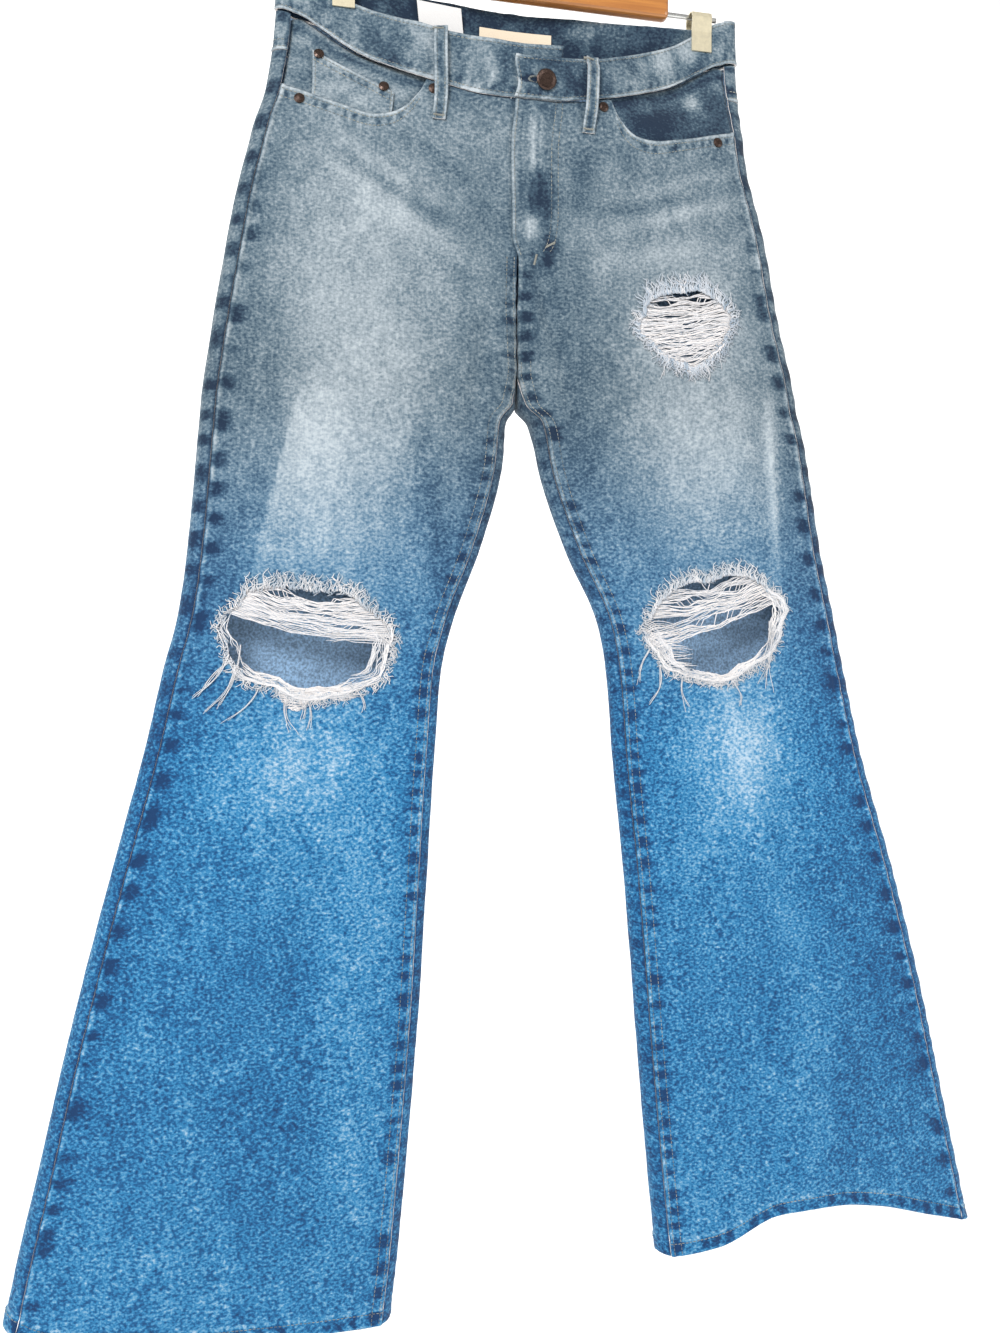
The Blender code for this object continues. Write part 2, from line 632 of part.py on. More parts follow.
def coin_pocket_grid(out):
    """Coin pocket: a small patch whose top edge slants down towards the fly."""
    rows = np.linspace(0, 1, 4)[:, None]
    share = np.linspace(0, 1, 5)[None, :]
    inner, outer = COIN_POCKET
    distance = inner["x"] + (outer["x"] - inner["x"]) * share + 0 * rows
    top = inner["top"] + (outer["top"] - inner["top"]) * share
    z = top + (inner["foot"] - top) * rows
    return moved_out(body_point(-1, "front", distance, z), out, FORWARD)


def back_pocket_grid(side):
    """Patch pocket: straight top, sides that draw in a little, and a pointed foot."""
    rows = np.linspace(0, 1, 7)[:, None]
    across = np.linspace(-1, 1, 7)[None, :]
    width = BACK_POCKET["half"] - BACK_POCKET["narrow"] * rows
    distance = BACK_POCKET["x"] + width * across
    top = BACK_POCKET["top"] + BACK_POCKET["slant"] * across
    foot = BACK_POCKET["foot"] - BACK_POCKET["point"] * (1 - np.abs(across))
    z = top + (foot - top) * rows
    out = WALL + LAYER_GAP + CURVE_GAP
    return moved_out(body_point(side, "back", distance, z), out, BACKWARD)


def loop_grid(row):
    """Belt loop: flat on the panel at its foot, clear of the band, and down on the band at its head."""
    foot, seam, top = row["foot"], row["seam"], row["top"]
    head = top + 0.0012
    z = np.array([foot, foot + 0.006, seam - 0.006, seam + 0.008, (seam + top) / 2, top - 0.008,
                  top - 0.003, head])
    panel_face = WALL / 2 + LAYER_GAP + LOOP_WALL / 2
    band_face = BAND_PROUD + BAND_WALL / 2 + LAYER_GAP + LOOP_WALL / 2 + row["out"]
    clear = band_face + LOOP_CLEAR
    out = np.array([panel_face, panel_face, clear - 0.001, clear, clear, clear - 0.0004, band_face + 0.0004,
                    band_face])
    across = row["x"] + LOOP_WIDTH / 2 * np.array([-1, 0, 1])
    z = z[:, None] + 0 * across[None, :]
    grid = body_point(row["side"], row["sheet"], across[None, :] + 0 * z, z)
    return moved_out(grid, out[:, None], FORWARD if row["sheet"] == "front" else BACKWARD)


# Rips and their threads


def rip_frame(rip, u, v):
    """X and height of points given across and up the rip, in its turned frame."""
    turn = math.radians(rip["turn"])
    x = rip["x"] + u * math.cos(turn) - v * math.sin(turn)
    return x, rip["z"] + u * math.sin(turn) + v * math.cos(turn)


def rip_edge(rip, grow=0.0):
    """Points round the torn edge, uneven by two waves, moved out by grow."""
    angle = np.arange(RIP_POINTS) * 2 * math.pi / RIP_POINTS
    v = (rip["high"] + grow) * np.sin(angle)
    share = np.clip(v / (rip["high"] + grow), -1, 1)
    lower = np.clip(-share, 0, 1)
    width = (rip["wide"] + grow) * (1 - rip["narrow"] * lower)
    u = width * np.sign(np.cos(angle)) * np.abs(np.cos(angle)) ** 0.8
    ragged = 1 + 0.035 * np.sin(7 * angle + rip["x"] * 40) + 0.025 * np.sin(11 * angle)
    return np.stack([u * ragged, v * ragged], axis=-1)


def front_at(side, x, z, out):
    """Points on the front sheet at X and height, moved out by out towards -Y."""
    distance = side * (x - outline("sway", z))
    points = body_point(side, "front", distance, z)
    points[..., 1] -= out
    return points


def rip_cutter(rip, collection):
    """Prism through the front sheet alone, with the torn outline."""
    edge = rip_edge(rip)
    x, z = rip_frame(rip, edge[:, 0], edge[:, 1])
    mesh = bpy.data.meshes.new("cutter_" + rip["name"])
    cage = bmesh.new()
    corners = [cage.verts.new((float(a), -0.0600, float(b) + LEVEL)) for a, b in zip(x, z)]
    face = cage.faces.new(corners)
    spread = bmesh.ops.extrude_face_region(cage, geom=[face])
    moved = [item for item in spread["geom"] if isinstance(item, bmesh.types.BMVert)]
    bmesh.ops.translate(cage, verts=moved, vec=(0, 0.0590, 0))
    bmesh.ops.recalc_face_normals(cage, faces=cage.faces)
    cage.to_mesh(mesh)
    cage.free()
    helper = bpy.data.objects.new("cutter_" + rip["name"], mesh)
    hide(helper, collection)
    return helper


def strand_mesh(name, strands):
    """Three-sided strands, closed at both ends: each is a path, its radii, and a direction across its bends."""
    cage = bmesh.new()
    for path, radii, across in strands:
        rings = []
        tangent = np.gradient(path, axis=0)
        for point, radius, direction in zip(path, radii, tangent):
            up = Vector(across).cross(Vector(direction)).normalized()
            side = Vector(direction).cross(up).normalized()
            ring = []
            for k in range(3):
                angle = 2 * math.pi * k / 3
                offset = side * math.cos(angle) * radius + up * math.sin(angle) * radius
                ring.append(cage.verts.new(Vector(point) + offset))
            rings.append(ring)
        for first, second in zip(rings[:-1], rings[1:]):
            for k in range(3):
                cage.faces.new((first[k], first[(k + 1) % 3], second[(k + 1) % 3], second[k]))
        cage.faces.new(rings[0][::-1])
        cage.faces.new(rings[-1])
    bmesh.ops.recalc_face_normals(cage, faces=cage.faces)
    mesh = bpy.data.meshes.new(name)
    cage.to_mesh(mesh)
    cage.free()
    return mesh


def rim_reach(rip, side, v, grow):
    """How far across the torn edge, moved out by grow, lies at a height v on one side of the rip."""
    edge = rip_edge(rip, grow)
    half = edge[edge[:, 0] * side > 0]
    half = half[np.argsort(half[:, 1])]
    return float(np.interp(v, half[:, 1], half[:, 0]))


def cross_threads(rip):
    """Weft threads left across the rip: each leaves the root cord, sags in the opening and returns to it."""
    strands = []
    high = rip["high"] * 0.76
    low = rip["high"] * (0.90 - 1.8 * rip["crossed"])
    behind = -ROOT_BEHIND
    for i in range(rip["threads"]):
        v = high + (low - high) * i / (rip["threads"] - 1)
        left, right = rim_reach(rip, -1, v, ROOT_OUTSIDE), rim_reach(rip, 1, v, ROOT_OUTSIDE)
        rim_left, rim_right = rim_reach(rip, -1, v, 0.0), rim_reach(rip, 1, v, 0.0)
        inside = rim_left + (rim_right - rim_left) * np.array([0.30, 0.55, 0.75])
        u = np.array([left, rim_left, *inside, rim_right, right])
        out = np.array([behind, behind, 0.0, 0.0004, 0.0, behind, behind])
        share = (2 * u - left - right) / (right - left)
        sag = (0.0010 + 0.0008 * math.sin(i * 2.1)) * (1 - share**2)
        sway = 0.0004 * np.sin(share * 5 + i * 1.7) * (1 - share**2)
        x, z = rip_frame(rip, u, v - sag + sway)
        path = front_at(rip["side"], x, z, out)
        strands.append((path, np.full(len(share), THREAD_RADIUS), (0, 0, 1)))
    return strands


def fray_strands(rip):
    """Torn ends that rise from behind the edge, bend over it and lie on the panel."""
    strands = []
    foot = rip["foot_half"]
    counts = [(rip["top_fray"], 0.36, 0.64, 0.5), (rip["foot_fray"], 1.5 - foot, 1.5 + foot, 1.0)]
    inner, outer = rip_edge(rip), rip_edge(rip, ROOT_OUTSIDE)
    for count, first, last, length_share in counts:
        for i in range(count):
            turn = (first + (last - first) * (i + 0.5) / count) * math.pi
            place = turn / (2 * math.pi) * RIP_POINTS
            k, t = int(place) % RIP_POINTS, place % 1
            edge = inner[k] * (1 - t) + inner[(k + 1) % RIP_POINTS] * t
            root = outer[k] * (1 - t) + outer[(k + 1) % RIP_POINTS] * t
            away = (root - edge) / np.linalg.norm(root - edge)
            length = length_share * (0.016 + 0.010 * math.sin(i * 2.7 + rip["x"] * 30))
            hang = np.array([0.25 * math.sin(i * 1.9), -0.35 if length_share == 1.0 else 0.2])
            run = away + hang
            stops = [root, edge + away * 0.0005, edge - away * 0.0036, edge + away * 0.0012,
                     edge + away * 0.0040 + run * length * 0.45, edge + away * 0.0040 + run * length]
            outs = np.array([-ROOT_BEHIND, -ROOT_BEHIND, 0.0003, 0.0024, 0.0022, 0.0022])
            points = np.array(stops)
            x, z = rip_frame(rip, points[:, 0], points[:, 1])
            path = front_at(rip["side"], x, z, outs)
            radii = THREAD_RADIUS * np.array([0.9, 0.9, 0.9, 1.0, 1.0, 0.6])
            leaving = path[1] - path[2]
            strands.append((path, radii, np.cross(leaving, (0, 1, 0))))
    return strands


def thread_node(rip, finish, collection, helpers):
    """The threads of one rip, rooted in a cord that runs behind its torn edge."""
    edge = rip_edge(rip, ROOT_OUTSIDE)
    x, z = rip_frame(rip, edge[:, 0], edge[:, 1])
    path = front_at(rip["side"], x, z, -ROOT_BEHIND)
    sides = 5
    centre = path.mean(axis=0)
    outward = path - centre
    outward[:, 1] = 0
    outward /= np.linalg.norm(outward, axis=1, keepdims=True)
    angle = np.arange(sides) * 2 * math.pi / sides
    ring = (
        path[:, None, :]
        + outward[:, None, :] * (ROOT_RADIUS * np.cos(angle))[None, :, None]
        + np.array([0, 1.0, 0])[None, None, :] * (ROOT_RADIUS * np.sin(angle))[None, :, None]
    )
    closed = np.concatenate([ring, ring[:1]], axis=0)
    closed = np.concatenate([closed, closed[:, :1]], axis=1)
    mesh = grid_mesh("threads_" + rip["name"], [closed], weld=1e-6)
    made = add_object("threads_" + rip["name"], mesh, finish, collection)
    strands = cross_threads(rip) + fray_strands(rip)
    union(made, strand_mesh(made.name + "_strands", strands), helpers)


# Hard pieces


def normal_at(side, distance, z):
    near = np.array([[-0.003, 0.003], [-0.003, 0.003]])
    grid = body_point(side, "front", distance + near, z + near.T[::-1])
    normal = np.cross(grid[1, 0] - grid[0, 0], grid[0, 1] - grid[0, 0])
    normal /= np.linalg.norm(normal)
    return Vector(normal if normal[1] < 0 else -normal)


def turned(name, profile, segments, finish, collection, place, axis):
    """A round piece: its profile of radius and height turned about its axis."""
    mesh = bpy.data.meshes.new(name)
    points = [(radius, 0.0, height) for radius, height in profile]
    mesh.from_pydata(points, [(i, i + 1) for i in range(len(points) - 1)], [])
    made = add_object(name, mesh, finish, collection)
    screw = made.modifiers.new("Turned", "SCREW")
    screw.axis = "Z"
    screw.steps = screw.render_steps = segments
    screw.use_merge_vertices = True
    screw.merge_threshold = 0.0001
    made.location = place
    made.rotation_mode = "QUATERNION"
    made.rotation_quaternion = Vector(axis).to_track_quat("Z", "Y")
    return made


def rivet(row, finish, collection):
    """Domed head that sits on the cloth."""
    seat = body_point(row["side"], "front", row["x"], row["z"])
    axis = normal_at(row["side"], row["x"], row["z"])
    out = RIVET_OUT[row["on"]]
    r = RIVET_RADIUS
    profile = [(0, 0.0016), (r * 0.55, 0.0014), (r, 0.0006), (r, 0.0), (0, 0.0)]
    turned(row["name"], profile, 12, finish, collection, Vector(seat) + axis * out, axis)


def button(finish, collection):
    """Shank button: a domed head before the waistband and a shank through its buttonhole."""
    seat = Vector(body_point(1, "front", BUTTON_X, BUTTON_Z))
    axis = normal_at(1, BUTTON_X, BUTTON_Z)
    lap = (BAND_WALL + LAYER_GAP) / 2
    face = BAND_PROUD + lap + BAND_WALL / 2 + LAYER_GAP
    back = BAND_PROUD - lap + BAND_WALL / 2 + LAYER_GAP
    r = BUTTON_RADIUS
    profile = [
        (0, face + 0.0018), (r * 0.62, face + 0.0020), (r * 0.86, face + 0.0026), (r, face + 0.0018),
        (r * 0.97, face + 0.0004), (r * 0.80, face), (SHANK_RADIUS, face), (SHANK_RADIUS, back), (0, back),
    ]
    turned("button", profile, 20, finish, collection, seat, axis)


def buttonhole_cutter(collection):
    """Slot through the lapping end of the waistband, for the shank."""
    mesh = bpy.data.meshes.new("cutter_buttonhole")
    cage = bmesh.new()
    bmesh.ops.create_cube(cage, size=1.0)
    cage.to_mesh(mesh)
    cage.free()
    helper = bpy.data.objects.new("cutter_buttonhole", mesh)
    hide(helper, collection)
    seat = Vector(body_point(1, "front", BUTTON_X, BUTTON_Z))
    axis = normal_at(1, BUTTON_X, BUTTON_Z)
    helper.location = seat + axis * 0.0030 + Vector((-0.004, 0, 0))
    helper.scale = (BUTTONHOLE[0], 0.0052, BUTTONHOLE[1])
    return helper


def wire(name, path, radius, finish, collection):
    curve = bpy.data.curves.new(name, "CURVE")
    curve.dimensions = "3D"
    spline = curve.splines.new("POLY")
    spline.points.add(len(path) - 1)
    for point, place in zip(spline.points, path):
        point.co = (*place, 1.0)
    curve.bevel_depth = radius
    curve.bevel_resolution = 2
    curve.use_fill_caps = True
    made = bpy.data.objects.new(name, curve)
    curve.materials.append(finish)
    collection.objects.link(made)
    return made


def hook_path():
    """Open loop over the rail, then an S into the straight shank above the bar."""
    centre = -HOOK_RADIUS
    points = []
    for i in range(15):
        angle = math.radians(-50 + i * (235 / 14))
        reach = HOOK_RADIUS + HOOK_WIRE
        points.append((reach * math.cos(angle), 0.0, centre + reach * math.sin(angle)))
    end = points[-1]
    for t in (0.2, 0.4, 0.6, 0.8, 1.0):
        points.append((end[0] * (1 - t * t * (3 - 2 * t)), 0.0, end[2] - 0.020 * t))
    shank_foot = LEVEL + BAR_BOTTOM + BAR_SIZE[2] + 0.0004
    points.append((0.0, 0.0, shank_foot))
    return points


def box(name, size, place, bevel, finish, collection):
    mesh = bpy.data.meshes.new(name)
    cage = bmesh.new()
    bmesh.ops.create_cube(cage, size=1.0)
    bmesh.ops.scale(cage, vec=size, verts=cage.verts)
    cage.to_mesh(mesh)
    cage.free()
    made = add_object(name, mesh, finish, collection)
    made.location = place
    edges = made.modifiers.new("Edges", "BEVEL")
    edges.width = bevel
    edges.segments = 3
    edges.limit_method = "ANGLE"
    return made


def rod(name, radius, length, segments, place):
    mesh = bpy.data.meshes.new(name)
    cage = bmesh.new()
    bmesh.ops.create_cone(cage, cap_ends=True, segments=segments, radius1=radius, radius2=radius, depth=length)
    cage.to_mesh(mesh)
    cage.free()
    made = bpy.data.objects.new(name, mesh)
    made.location = place
    made.rotation_euler = (0, math.pi / 2, 0)
    return made


def clip_grid(side):
    """Spring clip: a front jaw, a bend over the rod, and a back jaw, as rows along it by columns in X."""
    jaw, shoulder = 0.0059, 0.0074
    crown = ROD_Z + ROD_RADIUS + 0.0004 + CLIP_WALL / 2
    rows = [(-jaw, CLIP_BOTTOM), (-jaw, 0.5460), (-shoulder, 0.5580)]
    rows += [(-0.0062, crown - 0.0016), (-0.0028, crown)]
    rows += [(-y, z) for y, z in reversed(rows)]
    across = side * CLIP_X + CLIP_WIDTH * np.array([-0.5, 0.5])
    grid = np.zeros((len(rows), len(across), 3))
    grid[..., 0] = across[None, :]
    grid[..., 1] = np.array([y for y, z in rows])[:, None]
    grid[..., 2] = np.array([z for y, z in rows])[:, None] + LEVEL
    return grid


def hanger(collection, helpers):
    wood = material("wood_amber", WOOD_AMBER, 0.45)
    steel = material("steel", STEEL, 0.30, 1.0)
    gold = material("clip_metal", CLIP_GOLD, 0.35, 0.9)
    axis_z = LEVEL + ROD_Z
    bar = box("hanger_bar", BAR_SIZE, (0, 0, LEVEL + BAR_BOTTOM + BAR_SIZE[2] / 2), 0.0040, wood, collection)
    bore = rod("cutter_bore", ROD_RADIUS + 0.0004, BAR_SIZE[0] * 1.2, 16, (0, 0, axis_z))
    hide(bore, helpers)
    cut(bar, bore)
    metal_rod = rod("hanger_rod", ROD_RADIUS, ROD_HALF * 2, 12, (0, 0, axis_z))
    metal_rod.data.materials.append(steel)
    collection.objects.link(metal_rod)
    wire("hanger_hook", hook_path(), HOOK_WIRE, steel, collection)
    for side, name in ((-1, "clip_left"), (1, "clip_right")):
        cloth(name, [clip_grid(side)], CLIP_WALL, gold, collection)


def labels(collection):
    """Bare woven labels: one sewn flat inside the back of the waistband, one standing up beside it."""
    finish = material("label_cloth", LABEL_CREAM, 0.7)
    behind = BAND_WALL / 2 - BAND_PROUD + LAYER_GAP + 0.0003
    distance = np.linspace(*SIZE_LABEL["across"], 5)[None, :]
    z = np.linspace(*SIZE_LABEL["heights"], 3)[:, None]
    size = body_point(1, "back", distance + 0 * z, z + 0 * distance)
    cloth("size_label", [moved_out(size, -behind, BACKWARD)], LABEL_WALL, finish, collection)
    distance = np.linspace(*CARE_LABEL["across"], 4)[None, :]
    rows = np.linspace(0, 1, 5)[:, None]
    low, high = CARE_LABEL["heights"]
    z = low + (high - low) * rows
    care = body_point(-1, "back", distance + CARE_LABEL["slant"] * rows, z + 0 * distance)
    care[..., 1] -= CARE_LABEL["before"] + CARE_LABEL["lean"] * np.clip(rows - 0.25, 0, 1) ** 1.5
    pale = material("label_white", LABEL_WHITE, 0.7)
    cloth("care_label", [care], LABEL_WALL, pale, collection)


def jeans(collection, helpers):
    pale = material("denim_upper", DENIM_PALE, 0.9)
    mid = material("denim_lower", DENIM_MID, 0.9)
    white = material("torn_thread", THREAD_WHITE, 0.85)
    dark = material("rivet_dark", RIVET_DARK, 0.4, 0.8)
    cutters = {rip["name"]: rip_cutter(rip, helpers) for rip in RIPS}
    for side, name in ((-1, "left"), (1, "right")):
        front = cloth("front_" + name, [front_grid(side)], WALL, mid, collection, hem=hem_weight(side))
        for rip in RIPS:
            if rip["side"] == side:
                cut(front, cutters[rip["name"]])
        cloth("back_" + name, back_grids(side), WALL, mid, collection, weld=1e-5, hem=hem_weight(side))
        cloth("yoke_" + name, [yoke_grid(side)], WALL, pale, collection)
        deep = 2 if side < 0 else 1
        facing = facing_grid(side, -deep * (WALL + LAYER_GAP + CURVE_GAP))
        cloth("facing_" + name, [facing], WALL, pale, collection)
        cloth("back_pocket_" + name, [back_pocket_grid(side)], WALL, mid, collection)
    cloth("coin_pocket", [coin_pocket_grid(-(WALL + LAYER_GAP + CURVE_GAP))], WALL, pale, collection)
    band = cloth("waistband", [band_grid()], BAND_WALL, pale, collection)
    cut(band, buttonhole_cutter(helpers))
    for row in LOOPS:
        cloth(row["name"], [loop_grid(row)], LOOP_WALL, pale, collection)
    for row in RIVETS:
        rivet(row, dark, collection)
    button(dark, collection)
    for rip in RIPS:
        thread_node(rip, white, collection, helpers)


def main():
    for leftover in list(bpy.data.objects):
        bpy.data.objects.remove(leftover, do_unlink=True)
    scene = bpy.context.scene
    collection = bpy.data.collections.new("bootcut_jeans")
    helpers = bpy.data.collections.new("cutters")
    helpers.hide_render = True
    scene.collection.children.link(collection)
    scene.collection.children.link(helpers)
    jeans(collection, helpers)
    labels(collection)
    hanger(collection, helpers)


main()
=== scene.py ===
"""Bootcut jeans on a clip hanger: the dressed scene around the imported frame.

Metres, +Z up, the front faces -Y. Heights in the tables are measured from LEVEL, half way down the legs.
A point of the cloth is given by its side (-1 or +1 in X), its distance from the centre line, and its height.
"""

import math

import bmesh
import bpy
import numpy as np
from bpy.props import FloatProperty, FloatVectorProperty, IntProperty, PointerProperty
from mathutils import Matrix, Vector


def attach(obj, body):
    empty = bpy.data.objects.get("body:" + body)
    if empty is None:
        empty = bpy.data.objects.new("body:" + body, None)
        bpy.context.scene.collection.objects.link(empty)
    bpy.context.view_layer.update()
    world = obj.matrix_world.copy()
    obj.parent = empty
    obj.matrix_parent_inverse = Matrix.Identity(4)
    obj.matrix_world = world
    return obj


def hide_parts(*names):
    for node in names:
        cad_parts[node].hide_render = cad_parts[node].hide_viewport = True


bl_info = {
    "name": "Bootcut jeans on a clip hanger",
    "version": (1, 0, 0),
    "blender": (4, 5, 0),
    "location": "View3D > Sidebar > Jeans",
    "description": "Washed, torn bootcut jeans that hang from a wooden clip hanger",
    "category": "Object",
}

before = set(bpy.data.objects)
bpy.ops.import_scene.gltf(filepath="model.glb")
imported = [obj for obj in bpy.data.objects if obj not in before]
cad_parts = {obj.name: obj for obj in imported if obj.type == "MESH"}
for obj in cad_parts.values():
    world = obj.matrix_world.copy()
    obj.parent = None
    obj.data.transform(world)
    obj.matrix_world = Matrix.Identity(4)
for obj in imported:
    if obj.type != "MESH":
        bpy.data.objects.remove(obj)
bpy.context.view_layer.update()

# Sizes shared with the solids
WALL = 0.0012
BAND_WALL = 0.0022
SEAM_GAP = 0.0005
WAIST_GAP = 0.0010
LAYER_GAP = 0.0004
CURVE_GAP = 0.0003
BAND_PROUD = 0.0006
OUTSEAM_INSET = 0.012
INSEAM_INSET = 0.009
EDGE_DEPTH = 0.0030
CROTCH_CLEAR = SEAM_GAP / 2 + WALL / 2 + 0.0002
LEVEL = -0.6605
CROTCH = 0.250
BACK_FORK = 0.215
FRONT_DIP = 0.335
BACK_DIP = 0.245
INSEAM_SETTLED = 0.195
OVERLAP = 0.0050
UNDERLAP = 0.0350
FLY_FOOT = 0.3300
CLIP_X = 0.1545
CLIP_BOTTOM = 0.5290
LOOP_WIDTH = 0.011
BUTTON_X = 0.0200
BUTTON_Z = 0.4780
LOOP_CLEAR = 0.0028
LEG_TOP, LEG_HEM = 0.445, -0.505
YOKE_FOOT_AT = 0.445
BAND_AT = 0.515
WRAP = 0.011

# Pitches of the dark patches and of the puckers along seams, and the places of the hem's stitches and fold
OUTSEAM_ROPES = 0.027
INSEAM_ROPES = 0.0165
OUTSEAM_PUCKERS = 0.021
INSEAM_PUCKERS = 0.015
HEM_PUCKERS = 0.0095
HEM_STITCH = 0.0105
HEM_FOLD = 0.0132

# Torn edges: how near a point is moved onto one, how far the cloth is worn round it, and a thread's root
TORN_SNAP = 0.0026
TORN_REACH = 0.0055
THREAD_ROOT = 0.0018
STRAND_SIDES = 3

# Pocket facings and thin layers
FACING_START, FACING_END = 0.068, 0.178
THIN_WALL = WALL * 0.8
LOOP_WALL = 0.0012
LOOP_HALF = 0.0013

# Camera of the photo, and the stage
LENS, FILM = 30.0, 36.0
CAMERA_AT = (-0.2238, -0.9148, -0.6605)
CAMERA_DOWN, CAMERA_TURN = 0.335, -12.35
FLOOR, WALL_BEHIND, COVE = -1.62, 3.8, 1.2
STAGE_MIDDLE = (0.0, 0.0, -0.62)


def records(keys, rows):
    """Rows of values as dictionaries, with the keys given in one string."""
    return [dict(zip(keys.split(), row)) for row in rows]


# Outline of the hung garment: height, half width over the outseams, half gap between the legs,
# sideways sway of the centre line, and half thickness of the front and of the back
OUTLINE = records("z half gap sway front back", [
    (0.565, 0.196, 0, -0.0095, 0.024, 0.012), (0.51, 0.1985, 0, -0.01, 0.0225, 0.012),
    (0.46, 0.2048, 0, -0.011, 0.019, 0.013), (0.425, 0.2125, 0, -0.014, 0.017, 0.015),
    (0.37, 0.227, 0, -0.013, 0.016, 0.016), (0.3, 0.24, 0, -0.0125, 0.017, 0.017),
    (0.24, 0.252, 0, -0.01, 0.0175, 0.017), (0.215, 0.256, 0, -0.0095, 0.0175, 0.017),
    (0.2, 0.259, 0.01, -0.008, 0.0175, 0.0165), (0.16, 0.2645, 0.0165, -0.006, 0.017, 0.016),
    (0.095, 0.2728, 0.037, -0.0035, 0.0165, 0.0155), (0.033, 0.284, 0.063, -0.001, 0.0165, 0.0155),
    (-0.01, 0.294, 0.0725, -0.002, 0.0165, 0.0155), (-0.08, 0.31, 0.078, -0.002, 0.017, 0.016),
    (-0.19, 0.341, 0.087, 0, 0.018, 0.017), (-0.3, 0.369, 0.095, 0.001, 0.019, 0.018),
    (-0.4, 0.391, 0.1035, 0.001, 0.0205, 0.019), (-0.49, 0.411, 0.112, 0.001, 0.0225, 0.02),
    (-0.56, 0.423, 0.119, 0.001, 0.0235, 0.0205),
])

# Depth of the centre line where the seams run under the crotch from the front to the back
SADDLE = records("z y", [
    (0.335, -0.015), (0.3, -0.01), (0.275, -0.005), (0.25, 0), (0.23, 0.005), (0.215, 0.009),
    (0.198, 0.006), (0.17, 0),
])

# Lower edge of the waistband at the front and its top edge, by distance from the centre line
FRONT_WAIST = records("x seam top_left top_right", [
    (0, 0.4625, 0.506, 0.496), (0.03, 0.463, 0.5085, 0.4975), (0.055, 0.467, 0.512, 0.501),
    (0.085, 0.4745, 0.5205, 0.51), (0.11, 0.4825, 0.526, 0.519), (0.135, 0.493, 0.533, 0.529),
    (0.16, 0.508, 0.545, 0.544), (0.18, 0.519, 0.554, 0.556), (0.2, 0.523, 0.557, 0.56),
])
# The same round the back, where the yoke hangs below it
BACK_WAIST = records("x seam top yoke", [
    (0, 0.514, 0.553, 0.444), (0.05, 0.5145, 0.5535, 0.456), (0.1, 0.514, 0.552, 0.468),
    (0.15, 0.515, 0.552, 0.479), (0.18, 0.519, 0.555, 0.485), (0.2, 0.523, 0.5585, 0.489),
])
# Pocket scoop of the front panel, by distance from the centre line
SCOOP_START = 0.079
SCOOP = records("x z", [
    (0.079, 0.473), (0.084, 0.462), (0.092, 0.45), (0.103, 0.442), (0.118, 0.439), (0.145, 0.445),
    (0.185, 0.456), (0.2, 0.459),
])

# Inner and outer edge of the coin pocket
COIN_POCKET = records("x top foot", [
    (0.104, 0.46, 0.427), (0.169, 0.493, 0.427),
])
# Patch pocket of the back: middle, half width, how much it draws in, and its top and pointed foot
BACK_POCKET = dict(x=0.103, half=0.076, narrow=0.009, top=0.437, slant=0.010, foot=0.300, point=0.022)

# Hem height along each leg, by the share of the way from the inseam to the outseam
HEM = records("s left right", [
    (0, -0.54, -0.513), (0.15, -0.537, -0.506), (0.35, -0.5345, -0.481), (0.5, -0.533, -0.478),
    (0.65, -0.53, -0.484), (0.85, -0.523, -0.502), (1.0, -0.508, -0.514),
])

# Large folds of the cloth: a ridge or, where the rise is below zero, a trough from one point to another
FOLDS = dict(
    front=records("x0 z0 x1 z1 rise wide", [
        (-0.195, 0.2, -0.218, 0.085, 0.003, 0.014), (-0.075, 0.19, -0.1, 0.045, 0.0026, 0.013),
        (0.185, 0.19, 0.205, 0.08, 0.0026, 0.013), (0.014, 0.305, 0.045, 0.18, -0.0032, 0.01),
        (-0.034, 0.29, -0.052, 0.19, -0.0024, 0.01), (-0.195, 0.4, -0.09, 0.392, -0.002, 0.009),
        (0.07, 0.398, 0.165, 0.408, -0.002, 0.009), (-0.215, -0.045, -0.225, -0.19, 0.003, 0.02),
        (0.19, -0.04, 0.205, -0.18, 0.003, 0.02), (-0.15, -0.12, -0.215, -0.33, -0.003, 0.016),
        (0.235, -0.3, 0.255, -0.5, 0.006, 0.04), (-0.29, -0.33, -0.31, -0.54, 0.004, 0.034),
    ]),
    back=records("x0 z0 x1 z1 rise wide", [
        (0.02, 0.3, 0.11, 0.225, -0.0034, 0.012), (-0.035, 0.295, -0.125, 0.23, -0.003, 0.012),
        (0.035, 0.25, 0.12, 0.185, 0.0028, 0.013), (-0.045, 0.245, -0.14, 0.175, 0.0026, 0.012),
        (-0.215, 0.06, -0.1, 0.035, -0.0028, 0.012), (0.11, 0.04, 0.225, 0.07, -0.0028, 0.012),
        (-0.2, -0.08, -0.26, -0.33, 0.004, 0.026), (0.19, -0.09, 0.245, -0.35, 0.004, 0.026),
    ]),
)

# Belt loops: side, sheet, distance, heights of the foot, the waist seam and the band's top, and extra room
LOOPS = records("name side sheet x foot seam top out", [
    ("loop_front_left", -1, "front", 0.066, 0.439, 0.4695, 0.515, 0.0001),
    ("loop_front_right", 1, "front", 0.06, 0.44, 0.468, 0.502, 0.0007),
    ("loop_side_left", -1, "back", 0.182, 0.495, 0.519, 0.555, 0.0),
    ("loop_side_right", 1, "back", 0.182, 0.495, 0.519, 0.555, 0.0),
    ("loop_back", 1, "back", 0.0, 0.49, 0.514, 0.553, 0.0),
])

